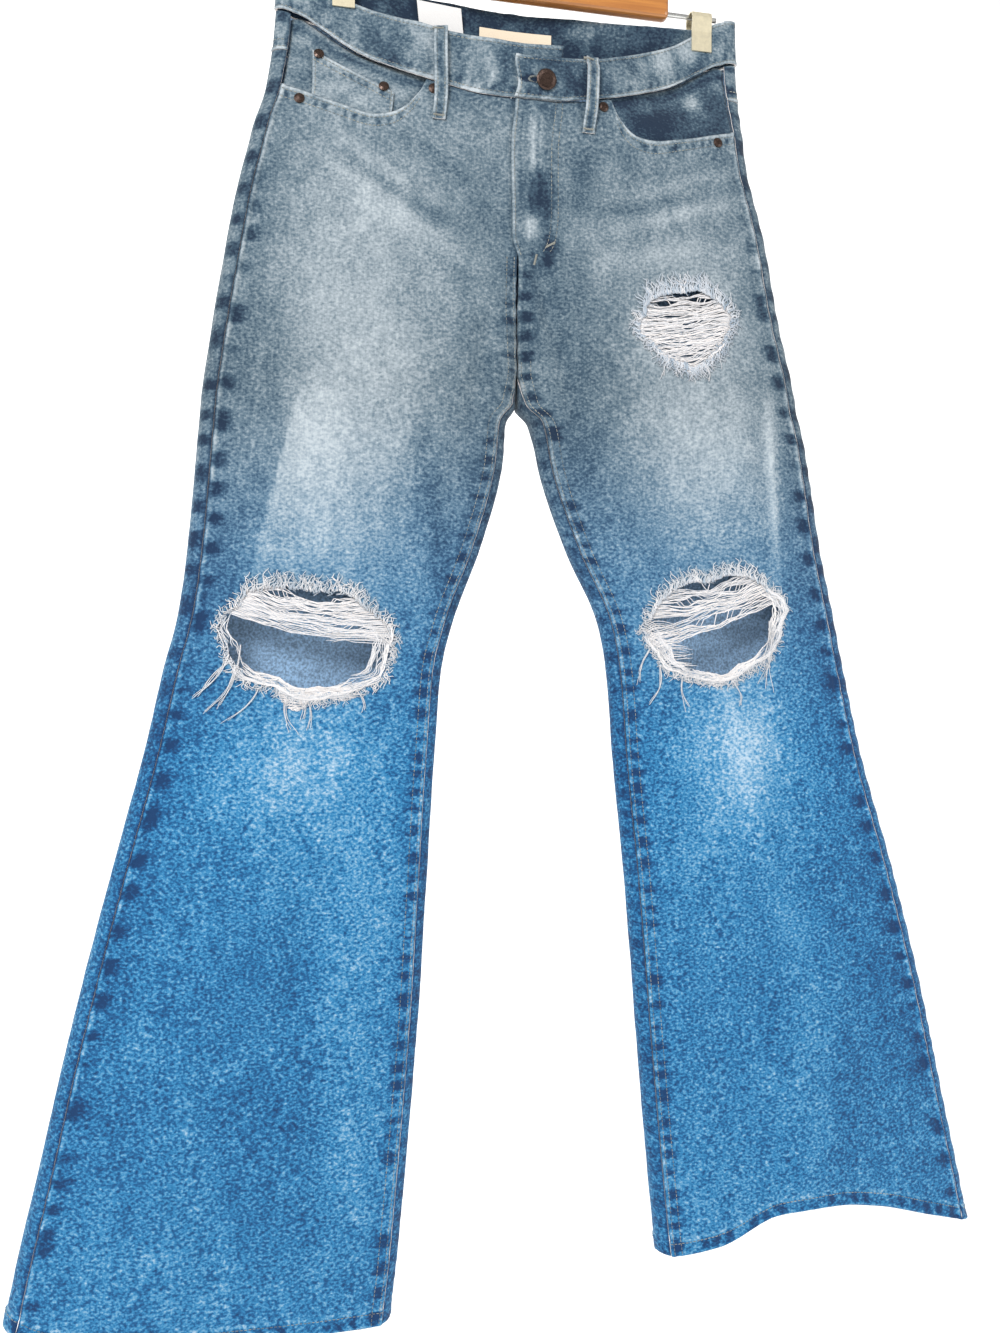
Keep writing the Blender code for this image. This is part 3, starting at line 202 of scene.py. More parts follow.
# Rips: middle, half sizes, turn in degrees, how much the foot narrows, and the fringe's length and paleness
RIPS = {row["name"]: row for row in records("name side x z wide high turn narrow fringe fray_tint", [
    ("knee_left", -1, -0.184, 0.015, 0.069, 0.042, -8, 0.05, 0.95, 0.6),
    ("knee_right", 1, 0.163, 0.028, 0.064, 0.043, 12, 0.18, 1.0, 0.56),
    ("thigh_right", 1, 0.136, 0.283, 0.044, 0.033, 8, 0.5, 1.35, 0.46),
])}
RIP_POINTS = 24

# Creases of the surface, finer than the folds: a soft ridge, or a trough where the rise is below zero
CREASES = dict(
    front=records("x0 z0 x1 z1 rise wide", [
        (-0.17, 0.43, -0.09, 0.372, 0.0007, 0.0055), (-0.175, 0.405, -0.08, 0.345, 0.0008, 0.006),
        (-0.15, 0.37, -0.045, 0.325, 0.0006, 0.0065), (-0.06, 0.425, -0.03, 0.395, -0.0007, 0.005),
        (0.185, 0.425, 0.085, 0.392, 0.0007, 0.0055), (0.19, 0.4, 0.065, 0.36, 0.0008, 0.006),
        (0.15, 0.355, 0.05, 0.33, 0.0006, 0.006), (0.03, 0.43, 0.04, 0.37, -0.0006, 0.006),
        (0.004, 0.325, 0.016, 0.275, -0.0016, 0.006), (-0.012, 0.322, -0.03, 0.27, -0.001, 0.006),
        (-0.205, 0.185, -0.222, 0.088, 0.0011, 0.0045), (0.214, 0.19, 0.221, 0.08, 0.0012, 0.0045),
        (-0.235, -0.01, -0.205, -0.07, -0.001, 0.007), (-0.15, -0.038, -0.135, -0.1, 0.0009, 0.008),
        (0.125, -0.022, 0.15, -0.09, -0.0009, 0.0075), (0.215, 0, 0.225, -0.08, 0.0009, 0.008),
        (-0.25, -0.18, -0.3, -0.42, 0.001, 0.011), (-0.19, -0.23, -0.175, -0.46, -0.0012, 0.013),
        (0.26, -0.2, 0.3, -0.43, 0.001, 0.012), (0.16, -0.22, 0.17, -0.43, -0.0012, 0.014),
    ]),
    back=records("x0 z0 x1 z1 rise wide", [
        (-0.02, 0.3, -0.11, 0.262, 0.0012, 0.007), (0.02, 0.282, 0.12, 0.24, 0.0012, 0.007),
        (-0.04, 0.225, -0.13, 0.205, -0.001, 0.007), (0.045, 0.222, 0.14, 0.196, -0.001, 0.0075),
        (-0.1, 0.06, -0.23, 0.03, 0.0012, 0.007), (-0.11, 0.012, -0.215, 0.04, -0.0011, 0.0065),
        (0.1, 0.052, 0.21, 0.02, 0.0012, 0.007), (0.125, 0, 0.235, 0.034, -0.0011, 0.0065),
        (-0.29, -0.25, -0.33, -0.47, 0.0014, 0.013), (0.18, -0.24, 0.17, -0.46, 0.0014, 0.014),
    ]),
)

# Washed spots: how much paler (or, below zero, darker) the dye is round a point
SPOTS = dict(
    front=records("x z wide high fade", [
        (-0.145, 0.29, 0.07, 0.125, 0.26), (-0.165, 0.13, 0.062, 0.085, 0.27),
        (-0.195, -0.085, 0.062, 0.05, 0.3), (-0.15, -0.18, 0.06, 0.09, 0.1),
        (0.125, 0.33, 0.065, 0.06, 0.13), (0.15, 0.18, 0.066, 0.11, 0.3),
        (0.178, -0.07, 0.042, 0.058, 0.44), (0.18, -0.15, 0.05, 0.08, 0.1), (0, 0.3, 0.04, 0.05, -0.12),
        (-0.045, 0.18, 0.028, 0.09, -0.1), (0.04, 0.19, 0.026, 0.08, -0.12),
        (-0.215, 0.18, 0.02, 0.11, -0.14), (-0.2, -0.33, 0.06, 0.12, -0.08),
        (0.3, -0.38, 0.05, 0.12, -0.06),
    ]),
    back=records("x z wide high fade", [
        (-0.11, 0.33, 0.08, 0.09, 0.22), (0.1, 0.33, 0.08, 0.09, 0.22), (-0.14, 0.13, 0.06, 0.1, 0.16),
        (0.135, 0.13, 0.06, 0.1, 0.16), (-0.2, -0.18, 0.07, 0.12, 0.1), (0.2, -0.18, 0.07, 0.12, 0.1),
    ]),
)
# Faded lines: whiskers at the hips and the tops of creases; one of them is a painted highlight down a crease
# of the right thigh
FADED = dict(
    front=records("x0 z0 x1 z1 fade wide", [
        (-0.17, 0.43, -0.09, 0.372, 0.13, 0.0065), (-0.175, 0.405, -0.08, 0.345, 0.15, 0.007),
        (-0.15, 0.37, -0.045, 0.325, 0.1, 0.008), (-0.14, 0.395, -0.06, 0.352, -0.12, 0.006),
        (-0.11, 0.425, -0.05, 0.39, -0.12, 0.007), (0.185, 0.425, 0.085, 0.392, 0.13, 0.0065),
        (0.19, 0.4, 0.065, 0.36, 0.15, 0.007), (0.15, 0.355, 0.05, 0.33, 0.1, 0.008),
        (0.14, 0.395, 0.05, 0.375, -0.13, 0.006), (0.05, 0.43, 0.035, 0.37, -0.16, 0.011),
        # The second row here is the painted highlight down the crease of the right thigh
        (-0.095, 0.195, -0.075, 0.05, -0.18, 0.009), (0.212, 0.24, 0.219, 0.09, 0.26, 0.006),
        (0.16, -0.02, 0.168, -0.12, -0.14, 0.012), (-0.16, -0.22, -0.15, -0.46, 0.1, 0.018),
        (0.235, -0.18, 0.26, -0.44, 0.1, 0.02), (0, 0.452, -0.001, 0.405, 0.3, 0.003),
        (0.008, 0.455, 0.006, 0.41, 0.2, 0.0024), (0.007, 0.405, 0.006, 0.37, -0.42, 0.013),
        (-0.001, 0.368, -0.001, 0.348, 0.4, 0.005), (0.018, 0.35, 0.01, 0.325, -0.34, 0.008),
    ]),
    back=records("x0 z0 x1 z1 fade wide", [
        (-0.1, 0.06, -0.23, 0.03, 0.16, 0.008), (0.1, 0.052, 0.21, 0.02, 0.16, 0.008),
        (-0.02, 0.3, -0.11, 0.262, 0.14, 0.008), (0.02, 0.282, 0.12, 0.24, 0.14, 0.008),
    ]),
)
# Painted light on one side of a large fold: paler on the side towards the middle of the leg, which is given
# by its sign in X
PAINTED_FOLD_LIGHT = records("x0 z0 x1 z1 fade wide toward", [
    (-0.196, 0.2, -0.226, 0.078, 0.3, 0.028, 1), (0.216, 0.185, 0.224, 0.066, 0.16, 0.016, -1),
])

# Curved stitching of the fly: heights, and distances from the centre line
FLY_STITCH = ([0.330, 0.334, 0.342, 0.352, 0.370, 0.466], [0.0040, 0.0160, 0.0235, 0.0268, 0.0288, 0.0300])

FORWARD = (0, -1, 0)
BACKWARD = (0, 1, 0)
# Nearly forward, so that it never lies along a thread
OUT_OF_CLOTH = (0, -1, 0.01)


# Small helpers


def column(table, key):
    return np.array([row[key] for row in table], float)


def smooth(value, places, heights):
    """Value of the smooth curve through the points: a cubic between neighbours, level outside them."""
    order = np.argsort(places)
    xs, ys = np.asarray(places, float)[order], np.asarray(heights, float)[order]
    steps = np.diff(xs)
    slopes = np.diff(ys) / steps
    tangents = np.zeros(len(xs))
    rising = slopes[1:] * slopes[:-1] > 0
    mean = 2 * slopes[1:] * slopes[:-1] / np.where(rising, slopes[1:] + slopes[:-1], 1)
    tangents[1:-1] = np.where(rising, mean, 0)
    value = np.clip(value, xs[0], xs[-1])
    i = np.clip(np.searchsorted(xs, value) - 1, 0, len(xs) - 2)
    t = (value - xs[i]) / steps[i]
    start = (2 * t**3 - 3 * t**2 + 1) * ys[i] + (t**3 - 2 * t**2 + t) * steps[i] * tangents[i]
    end = (3 * t**2 - 2 * t**3) * ys[i + 1] + (t**3 - t**2) * steps[i] * tangents[i + 1]
    return start + end


def along(table, place, key, value):
    """A column of the table read at the value, by another column that holds the places."""
    return smooth(value, column(table, place), column(table, key))


def outline(key, z):
    return along(OUTLINE, "z", key, z)


def step(low, high, value):
    """0 below the low value, 1 above the high one, and a soft S between."""
    t = np.clip((value - low) / (high - low), 0, 1)
    return t * t * (3 - 2 * t)


# Body form


def edge_round(distance, radius):
    """Quarter of an ellipse: 0 at the edge, 1 once the distance passes the radius."""
    t = np.clip(distance / radius, 0, 1)
    return np.sqrt(1 - (1 - t) ** 2)


def clip_distance(side):
    """Distance of a clip from the centre line, which sways to one side of the hanger's middle."""
    return CLIP_X - side * float(outline("sway", CLIP_BOTTOM))


def sheet_depth(side, sheet, distance, z, x):
    """How far the sheet stands from the middle plane, before it turns at its edges.

    The waist is open between the clips and pinched by them, the hips are one broad lens, and each leg
    is a lens of its own.
    """
    half, gap = outline("half", z), outline("gap", z)
    pinched = np.cos(math.pi / 2 * np.clip(distance / clip_distance(side), 0, 1)) ** 2
    hips = 1 - 0.55 * np.clip(distance / half, 0, 1) ** 3
    held = step(0.43, 0.515, z)
    across = np.clip((distance - gap) / (half - gap), 0, 1)
    leg = 1 - 0.55 * np.abs(2 * across - 1) ** 3
    legs = 1 - step(BACK_FORK, FRONT_DIP, z)
    share = (1 - legs) * (held * pinched + (1 - held) * hips) + legs * leg
    return outline(sheet, z) * share + EDGE_DEPTH + swells(FOLDS[sheet], "rise", x, z) * (1 - held)


def body_point(side, sheet, distance, z):
    """Points of the form's middle surface at distances from the centre line and heights above LEVEL.

    A distance below zero lies past the centre line, on the other side.
    """
    distance, z = np.broadcast_arrays(np.asarray(distance, float), np.asarray(z, float))
    side = np.where(distance < 0, -side, side)
    distance = np.abs(distance)
    x = side * distance + outline("sway", z)
    depth = sheet_depth(side, sheet, distance, z, x)
    inner_depth = along(SADDLE, "z", "y", z)
    if sheet == "front":
        joined = step(0.270, FRONT_DIP, z)
        facing, reach = -1, 0.012 + 0.012 * joined
    else:
        joined = step(BACK_FORK - 0.004, BACK_DIP, z)
        facing, reach = 1, 0.011
    turned = edge_round(distance - outline("gap", z), reach)
    parted = inner_depth + (facing * depth - inner_depth) * turned
    y = joined * facing * depth + (1 - joined) * parted
    y = y * edge_round(outline("half", z) - distance, 0.011)
    return np.stack([x, y, z + LEVEL], axis=-1)


# Dye and surface


def wander(u, v, seed):
    """Smooth noise between -1 and 1: random heights on a square lattice, blended by soft S curves."""
    u, v = np.broadcast_arrays(np.asarray(u, float), np.asarray(v, float))
    left, low = np.floor(u), np.floor(v)
    across, up = u - left, v - low
    across, up = across * across * (3 - 2 * across), up * up * (3 - 2 * up)

    def corner(a, b):
        height = np.sin(a * 12.9898 + b * 78.233 + seed * 37.719) * 43758.5453
        return 2 * (height - np.floor(height)) - 1

    bottom = corner(left, low) * (1 - across) + corner(left + 1, low) * across
    top = corner(left, low + 1) * (1 - across) + corner(left + 1, low + 1) * across
    return bottom * (1 - up) + top * up


def swells(lines, key, x, z):
    """Sum over lines: along each line the value swells and fades, across it falls off as a bell."""
    total = np.zeros(np.broadcast(x, z).shape)
    for row in lines:
        run = np.array([row["x1"] - row["x0"], row["z1"] - row["z0"]])
        length = math.hypot(*run)
        run = run / length
        dx, dz = x - row["x0"], z - row["z0"]
        t = (dx * run[0] + dz * run[1]) / length
        across = dx * run[1] - dz * run[0]
        swell = step(-0.25, 0.3, t) * (1 - step(0.7, 1.25, t))
        total = total + row[key] * swell * np.exp(-((across / row["wide"]) ** 2))
    return total


def bell(value, centre, wide):
    return np.exp(-(((value - centre) / wide) ** 2))


def unevenness(x, z, seed):
    """Slight waves of the cloth after washing, in metres."""
    return 0.00022 * wander(x / 0.016, z / 0.024, seed) + 0.00012 * wander(x / 0.006, z / 0.009, seed + 3)


def roping(place, pitch, seed):
    """Dark patches in an uneven row along a seam: a wave of wandering length, cut off softly."""
    turns = place / pitch + 0.45 * wander(place / pitch / 2.0, seed, seed)
    value = 0.62 * np.sin(2 * math.pi * turns) + 0.45 * wander(place / pitch * 1.7, seed + 7, seed)
    return step(0.02, 0.50, value)


def puckers(place, pitch, seed):
    """Waves along a seam, of uneven length."""
    return np.sin(2 * math.pi * (place / pitch + 0.5 * wander(place / pitch / 2.2, seed, seed)))


def washed_and_lit(sheet, x, z):
    """Paleness of the dye from 0, unwashed, to 1, nearly white, with painted light added on the sides and
    tops of some folds.
    """
    fade = 0.40 + 0.10 * step(-0.05, 0.30, z) + 0.05 * step(-0.25, -0.50, z)
    for spot in SPOTS[sheet]:
        reach = ((x - spot["x"]) / spot["wide"]) ** 2 + ((z - spot["z"]) / spot["high"]) ** 2
        fade = fade + spot["fade"] * np.exp(-reach)
    fade = fade + swells(FADED[sheet], "fade", x, z)
    if sheet == "front":
        # Painted light: a paler band on the lit side of the large fold down each thigh
        for edge in PAINTED_FOLD_LIGHT:
            share = np.clip((edge["z0"] - z) / (edge["z0"] - edge["z1"]), -0.3, 1.3)
            line = edge["x0"] + (edge["x1"] - edge["x0"]) * share
            inward = (x - line) * edge["toward"]
            swell = step(-0.3, 0.1, share) * (1 - step(0.9, 1.3, share))
            light_falloff = np.exp(-np.maximum(inward, 0) / edge["wide"])
            fade = fade + edge["fade"] * swell * step(-0.001, 0.002, inward) * light_falloff
    cloudy = 0.045 * wander(x / 0.045, z / 0.060, 11) + 0.035 * wander(x / 0.014, z / 0.022, 12)
    return fade + cloudy


def greyness(z):
    """From 0, the vivid blue of the legs, to 1, the grey blue of the hips."""
    return step(-0.10, 0.24, z)


# Walls


def outward(grid, toward, at=None):
    """Unit normals of the grid, on the side that the vector toward points to, and their sign."""
    normal = np.cross(np.gradient(grid, axis=0), np.gradient(grid, axis=1))
    normal /= np.maximum(np.linalg.norm(normal, axis=-1, keepdims=True), 1e-12)
    facing = normal @ np.asarray(toward, float)
    facing = np.sign(np.median(facing) if at is None else facing[at])
    return normal * facing, facing


class Layer:
    """A grid of cloth with its relief, its dye with painted shade and light, and its own coordinates, all as
    arrays of one shape.
    """

    def __init__(self, base, out, toward, fade, grey, at=None, gone=None):
        self.base = base
        self.normal, self.facing = outward(base, toward, at)
        out = np.broadcast_to(np.asarray(out, float), base.shape[:2])
        self.grid = base + self.normal * out[..., None]
        self.fade = np.broadcast_to(fade, base.shape[:2])
        self.grey = np.broadcast_to(grey, base.shape[:2])
        self.gone = np.zeros(base.shape[:2], bool) if gone is None else gone
        down = np.linalg.norm(np.diff(base, axis=0), axis=-1)
        over = np.linalg.norm(np.diff(base, axis=1), axis=-1)
        self.down = np.concatenate([np.zeros((1, base.shape[1])), np.cumsum(down, axis=0)], axis=0)
        self.over = np.concatenate([np.zeros((base.shape[0], 1)), np.cumsum(over, axis=1)], axis=1)

    def kept(self):
        """Cells of the grid with no corner inside a rip."""
        gone = self.gone
        return ~(gone[:-1, :-1] | gone[1:, :-1] | gone[1:, 1:] | gone[:-1, 1:])

    def area(self):
        """Area of the cloth: half the length of each cell's crossed diagonals, added up."""
        first = self.base[1:, 1:] - self.base[:-1, :-1]
        second = self.base[1:, :-1] - self.base[:-1, 1:]
        cells = np.linalg.norm(np.cross(first, second), axis=-1) / 2
        return float((cells * self.kept()).sum())

    def crossing(self, field, value, axis):
        """The line where a field passes a value, found along one axis, and the normals there."""
        over = np.diff(np.sign(field - value), axis=axis) != 0
        index = over.argmax(axis=axis)
        there = over.any(axis=axis)
        others = np.arange(field.shape[1 - axis])
        first = (index, others) if axis == 0 else (others, index)
        second = (index + 1, others) if axis == 0 else (others, index + 1)
        share = ((value - field[first]) / (field[second] - field[first] + 1e-15))[:, None]
        points = self.grid[first] * (1 - share) + self.grid[second] * share
        normals = self.normal[first] * (1 - share) + self.normal[second] * share
        there &= ~(self.gone[first] | self.gone[second])
        return points[there], normals[there]


def link(name, data):
    """A new object in the scene's own collection."""
    made = bpy.data.objects.new(name, data)
    bpy.context.scene.collection.objects.link(made)
    return made


def smooth_mesh(name, points, faces):
    mesh = bpy.data.meshes.new(name)
    mesh.from_pydata(points, [], faces)
    mesh.polygons.foreach_set("use_smooth", [True] * len(mesh.polygons))
    return mesh


def finish_shell(name, layers, wall, finishes):
    """One object from layers of cloth: an outer face, an inner face a wall behind it, and a rim."""
    points, faces, fades, start = [], [], [], 0
    for layer in layers:
        rows, columns = layer.grid.shape[:2]
        index = start + np.arange(rows * columns).reshape(rows, columns)
        quads = np.stack([index[:-1, :-1], index[1:, :-1], index[1:, 1:], index[:-1, 1:]], axis=-1)
        quads = quads[layer.kept()]
        faces.append(quads if layer.facing > 0 else quads[:, ::-1])
        points.append(layer.grid.reshape(-1, 3))
        fades.append(np.stack([layer.fade, layer.grey], axis=-1).reshape(-1, 2))
        start += rows * columns
    points = np.concatenate(points)
    mesh = smooth_mesh(name, points.tolist(), np.concatenate(faces).tolist())
    # The wash attribute holds the dye's paleness with its painted shade and light, and the greyness
    wash = mesh.attributes.new("wash", "FLOAT_COLOR", "POINT")
    colours = np.ones((len(points), 4))
    colours[:, :2] = np.concatenate(fades)
    wash.data.foreach_set("color", colours.ravel())
    cage = bmesh.new()
    cage.from_mesh(mesh)
    loose = [v for v in cage.verts if not v.link_faces]
    bmesh.ops.delete(cage, geom=loose, context="VERTS")
    bmesh.ops.remove_doubles(cage, verts=cage.verts, dist=2e-5)
    cage.to_mesh(mesh)
    cage.free()
    made = link(name, mesh)
    for finish in finishes:
        mesh.materials.append(finish)
    solid = made.modifiers.new("Wall", "SOLIDIFY")
    solid.thickness = wall
    solid.offset = -1
    solid.material_offset = min(1, len(finishes) - 1)
    solid.material_offset_rim = len(finishes) - 1
    return made


def hang(node, layers, wall, finishes):
    """Makes a piece in the place of its node and rides it; the width, length and area of its cloth are worked
    out but not used.
    """
    made = finish_shell("denim_" + node, layers, wall, finishes)
    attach(made, "root")
    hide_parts(node)
    width = sum(float(layer.over[:, -1].max()) for layer in layers)
    length = max(float(layer.down[-1].max()) for layer in layers)
    area = min(sum(layer.area() for layer in layers), width * length)


# Threads and stitches


def strand_mesh(name, strands, finish):
    """Round threads along paths: rings of points about each path, turned from one across direction.

    Each strand is a path, its radii, a direction across it, and a tint; paths may differ in length.
    """
    points, faces, tints, start = [], [], [], 0
    turn = np.arange(STRAND_SIDES) * 2 * math.pi / STRAND_SIDES
    for path, radius, across, tint in strands:
        tangent = np.gradient(path, axis=0)
        first = np.cross(np.broadcast_to(across, path.shape), tangent)
        first /= np.maximum(np.linalg.norm(first, axis=1, keepdims=True), 1e-12)
        second = np.cross(tangent, first)
        second /= np.maximum(np.linalg.norm(second, axis=1, keepdims=True), 1e-12)
        radius = np.broadcast_to(np.asarray(radius, float), len(path))
        ring = first[:, None] * np.cos(turn)[None, :, None] + second[:, None] * np.sin(turn)[None, :, None]
        points.append((path[:, None] + ring * radius[:, None, None]).reshape(-1, 3))
        count = len(path) * STRAND_SIDES
        index = start + np.arange(count).reshape(len(path), STRAND_SIDES)
        after = np.roll(index, -1, axis=1)
        faces += np.stack([index[:-1], after[:-1], after[1:], index[1:]], axis=-1).reshape(-1, 4).tolist()
        faces += [index[0, ::-1].tolist(), index[-1].tolist()]
        tints.append(np.full(count, tint))
        start += count
    mesh = smooth_mesh(name, np.concatenate(points).tolist(), faces)
    shade = mesh.attributes.new("tint", "FLOAT", "POINT")
    shade.data.foreach_set("value", np.concatenate(tints))
    mesh.materials.append(finish)
    made = link(name, mesh)
    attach(made, "root")
    return made


def stitches(line, normals, pitch, length, radius, seed):
    """Stitches along a line: each rises out of the cloth, lies on it and dips back in."""
    steps = np.linalg.norm(np.diff(line, axis=0), axis=1)
    place = np.concatenate([[0], np.cumsum(steps)])
    count = max(1, int(place[-1] / pitch))
    share = np.array([-0.5, -0.36, 0.0, 0.36, 0.5])
    rise = np.array([-0.00035, 0.00010, 0.00022, 0.00010, -0.00035])
    made = []
    for i in range(count):
        middle = (i + 0.5) * pitch
        at = np.clip(middle + share * length, 0, place[-1])
        path = np.stack([np.interp(at, place, line[:, k]) for k in range(3)], axis=1)
        normal = np.array([np.interp(middle, place, normals[:, k]) for k in range(3)])
        normal /= np.linalg.norm(normal)
        tint = 0.5 + 0.5 * float(wander(i * 0.37, seed, 21))
        made.append((path + normal * rise[:, None], radius * np.array([0.7, 1, 1, 1, 0.7]), normal, tint))
    return made


# Panels of the legs


def eased(count, pull):
    """Shares from 0 to 1 that crowd at both ends: t - pull sin(2 pi t) / (2 pi)."""
    t = np.linspace(0, 1, count)
    return t - pull * np.sin(2 * math.pi * t) / (2 * math.pi)


def front_inner(side, z):
    """Inner edge of a front panel: the fly, the crotch seam, then the inseam."""
    inset = INSEAM_INSET * (1 - step(INSEAM_SETTLED, CROTCH, z))
    facing = 1 - step(0.300, 0.340, z)
    clear = SEAM_GAP / 2 + (CROTCH_CLEAR - SEAM_GAP / 2) * facing
    lap = OVERLAP * step(FLY_FOOT, FLY_FOOT + 0.020, z) if side > 0 else 0.0
    return np.maximum(outline("gap", z) + inset, clear) - lap


def back_inner(z):
    """Inner edge of the back sheet: the centre back seam, then the leg's own edge."""
    facing = 1 - step(BACK_FORK, BACK_DIP, z)
    clear = SEAM_GAP / 2 + (CROTCH_CLEAR - SEAM_GAP / 2) * facing
    return np.maximum(outline("gap", z), clear)


def hem_height(side, distance):
    z = HEM[0]["left"]
    gap, half = outline("gap", z), outline("half", z)
    share = np.clip((distance - gap) / (half - gap), 0, 1)
    return along(HEM, "s", "left" if side < 0 else "right", share)


def front_top(distance):
    seam = along(FRONT_WAIST, "x", "seam", distance) - WAIST_GAP
    scoop = along(SCOOP, "x", "z", distance)
    return np.where(distance < SCOOP_START, seam, np.minimum(seam, scoop))


def back_top(distance):
    return along(BACK_WAIST, "x", "yoke", distance) - SEAM_GAP


LEVELS = np.concatenate([
    np.linspace(LEG_TOP, LEG_TOP - 0.060, 44)[:-1],
    np.linspace(LEG_TOP - 0.060, LEG_HEM + 0.040, 290)[:-1],
    np.linspace(LEG_HEM + 0.040, LEG_HEM, 34),
])
FRONT_SHARES = eased(84, 0.75)
BACK_SHARES = eased(64, 0.60)
WRAP_BACK = WRAP * np.linspace(1, 0, 9)[1:]
WRAP_FRONT = (OUTSEAM_INSET - SEAM_GAP) * np.linspace(0, 1, 13)[1:]


def leg_heights(side, distances, top_of):
    """Heights of a panel's points: level rows, bent to its top edge above and to the hem below."""
    level = LEVELS[:, None]
    near_top = 1 - step(0.0, 0.135, LEG_TOP - level)
    near_hem = step(0.0, 0.200, LEG_HEM + 0.200 - level)
    top = top_of(distances[0])[None, :]
    hem = hem_height(side, distances[-1])[None, :]
    return level + (top - LEG_TOP) * near_top + (hem - LEG_HEM) * near_hem


def rip_points(rip, u, v):
    """X and height of points given across and up the rip, in its turned frame."""
    turn = math.radians(rip["turn"])
    x = rip["x"] + u * math.cos(turn) - v * math.sin(turn)
    return x, rip["z"] + u * math.sin(turn) + v * math.cos(turn)


def rip_radius(rip, angle):
    """Distance of the torn edge from the rip's middle, by direction: the solid's outline, made ragged."""
    corner = np.arange(RIP_POINTS) * 2 * math.pi / RIP_POINTS
    v = rip["high"] * np.sin(corner)
    lower = np.clip(-np.sin(corner), 0, 1)
    u = rip["wide"] * (1 - rip["narrow"] * lower) * np.sign(np.cos(corner)) * np.abs(np.cos(corner)) ** 0.8
    ragged = 1 + 0.035 * np.sin(7 * corner + rip["x"] * 40) + 0.025 * np.sin(11 * corner)
    u, v = u * ragged, v * ragged
    turn = np.mod(np.arctan2(v, u), 2 * math.pi)
    order = np.argsort(turn)
    radius = np.interp(np.mod(angle, 2 * math.pi), turn[order], np.hypot(u, v)[order], period=2 * math.pi)
    return radius + 0.0009 * wander(angle * 16, rip["x"] * 100, 31)


def open_rips(side, x, z):
    """Moves the points nearest to each torn edge onto it; tells those inside, and how near the rest lie."""
    gone = np.zeros(x.shape, bool)
    torn = np.zeros(x.shape)
    for rip in RIPS.values():
        if rip["side"] != side:
            continue
        turn = math.radians(rip["turn"])
        dx, dz = x - rip["x"], z - rip["z"]
        u = dx * math.cos(turn) + dz * math.sin(turn)
        v = dz * math.cos(turn) - dx * math.sin(turn)
        away = np.hypot(u, v)
        radius = rip_radius(rip, np.arctan2(v, u))
        near = (away < radius) & (away > radius - TORN_SNAP)
        grow = np.where(near, radius / np.maximum(away, 1e-6), 1.0)
        moved_x, moved_z = rip_points(rip, u * grow, v * grow)
        x, z = np.where(near, moved_x, x), np.where(near, moved_z, z)
        gone |= away <= radius - TORN_SNAP
        torn = np.maximum(torn, np.exp(-np.maximum(away - radius, 0) / TORN_REACH))
    return x, z, gone, torn


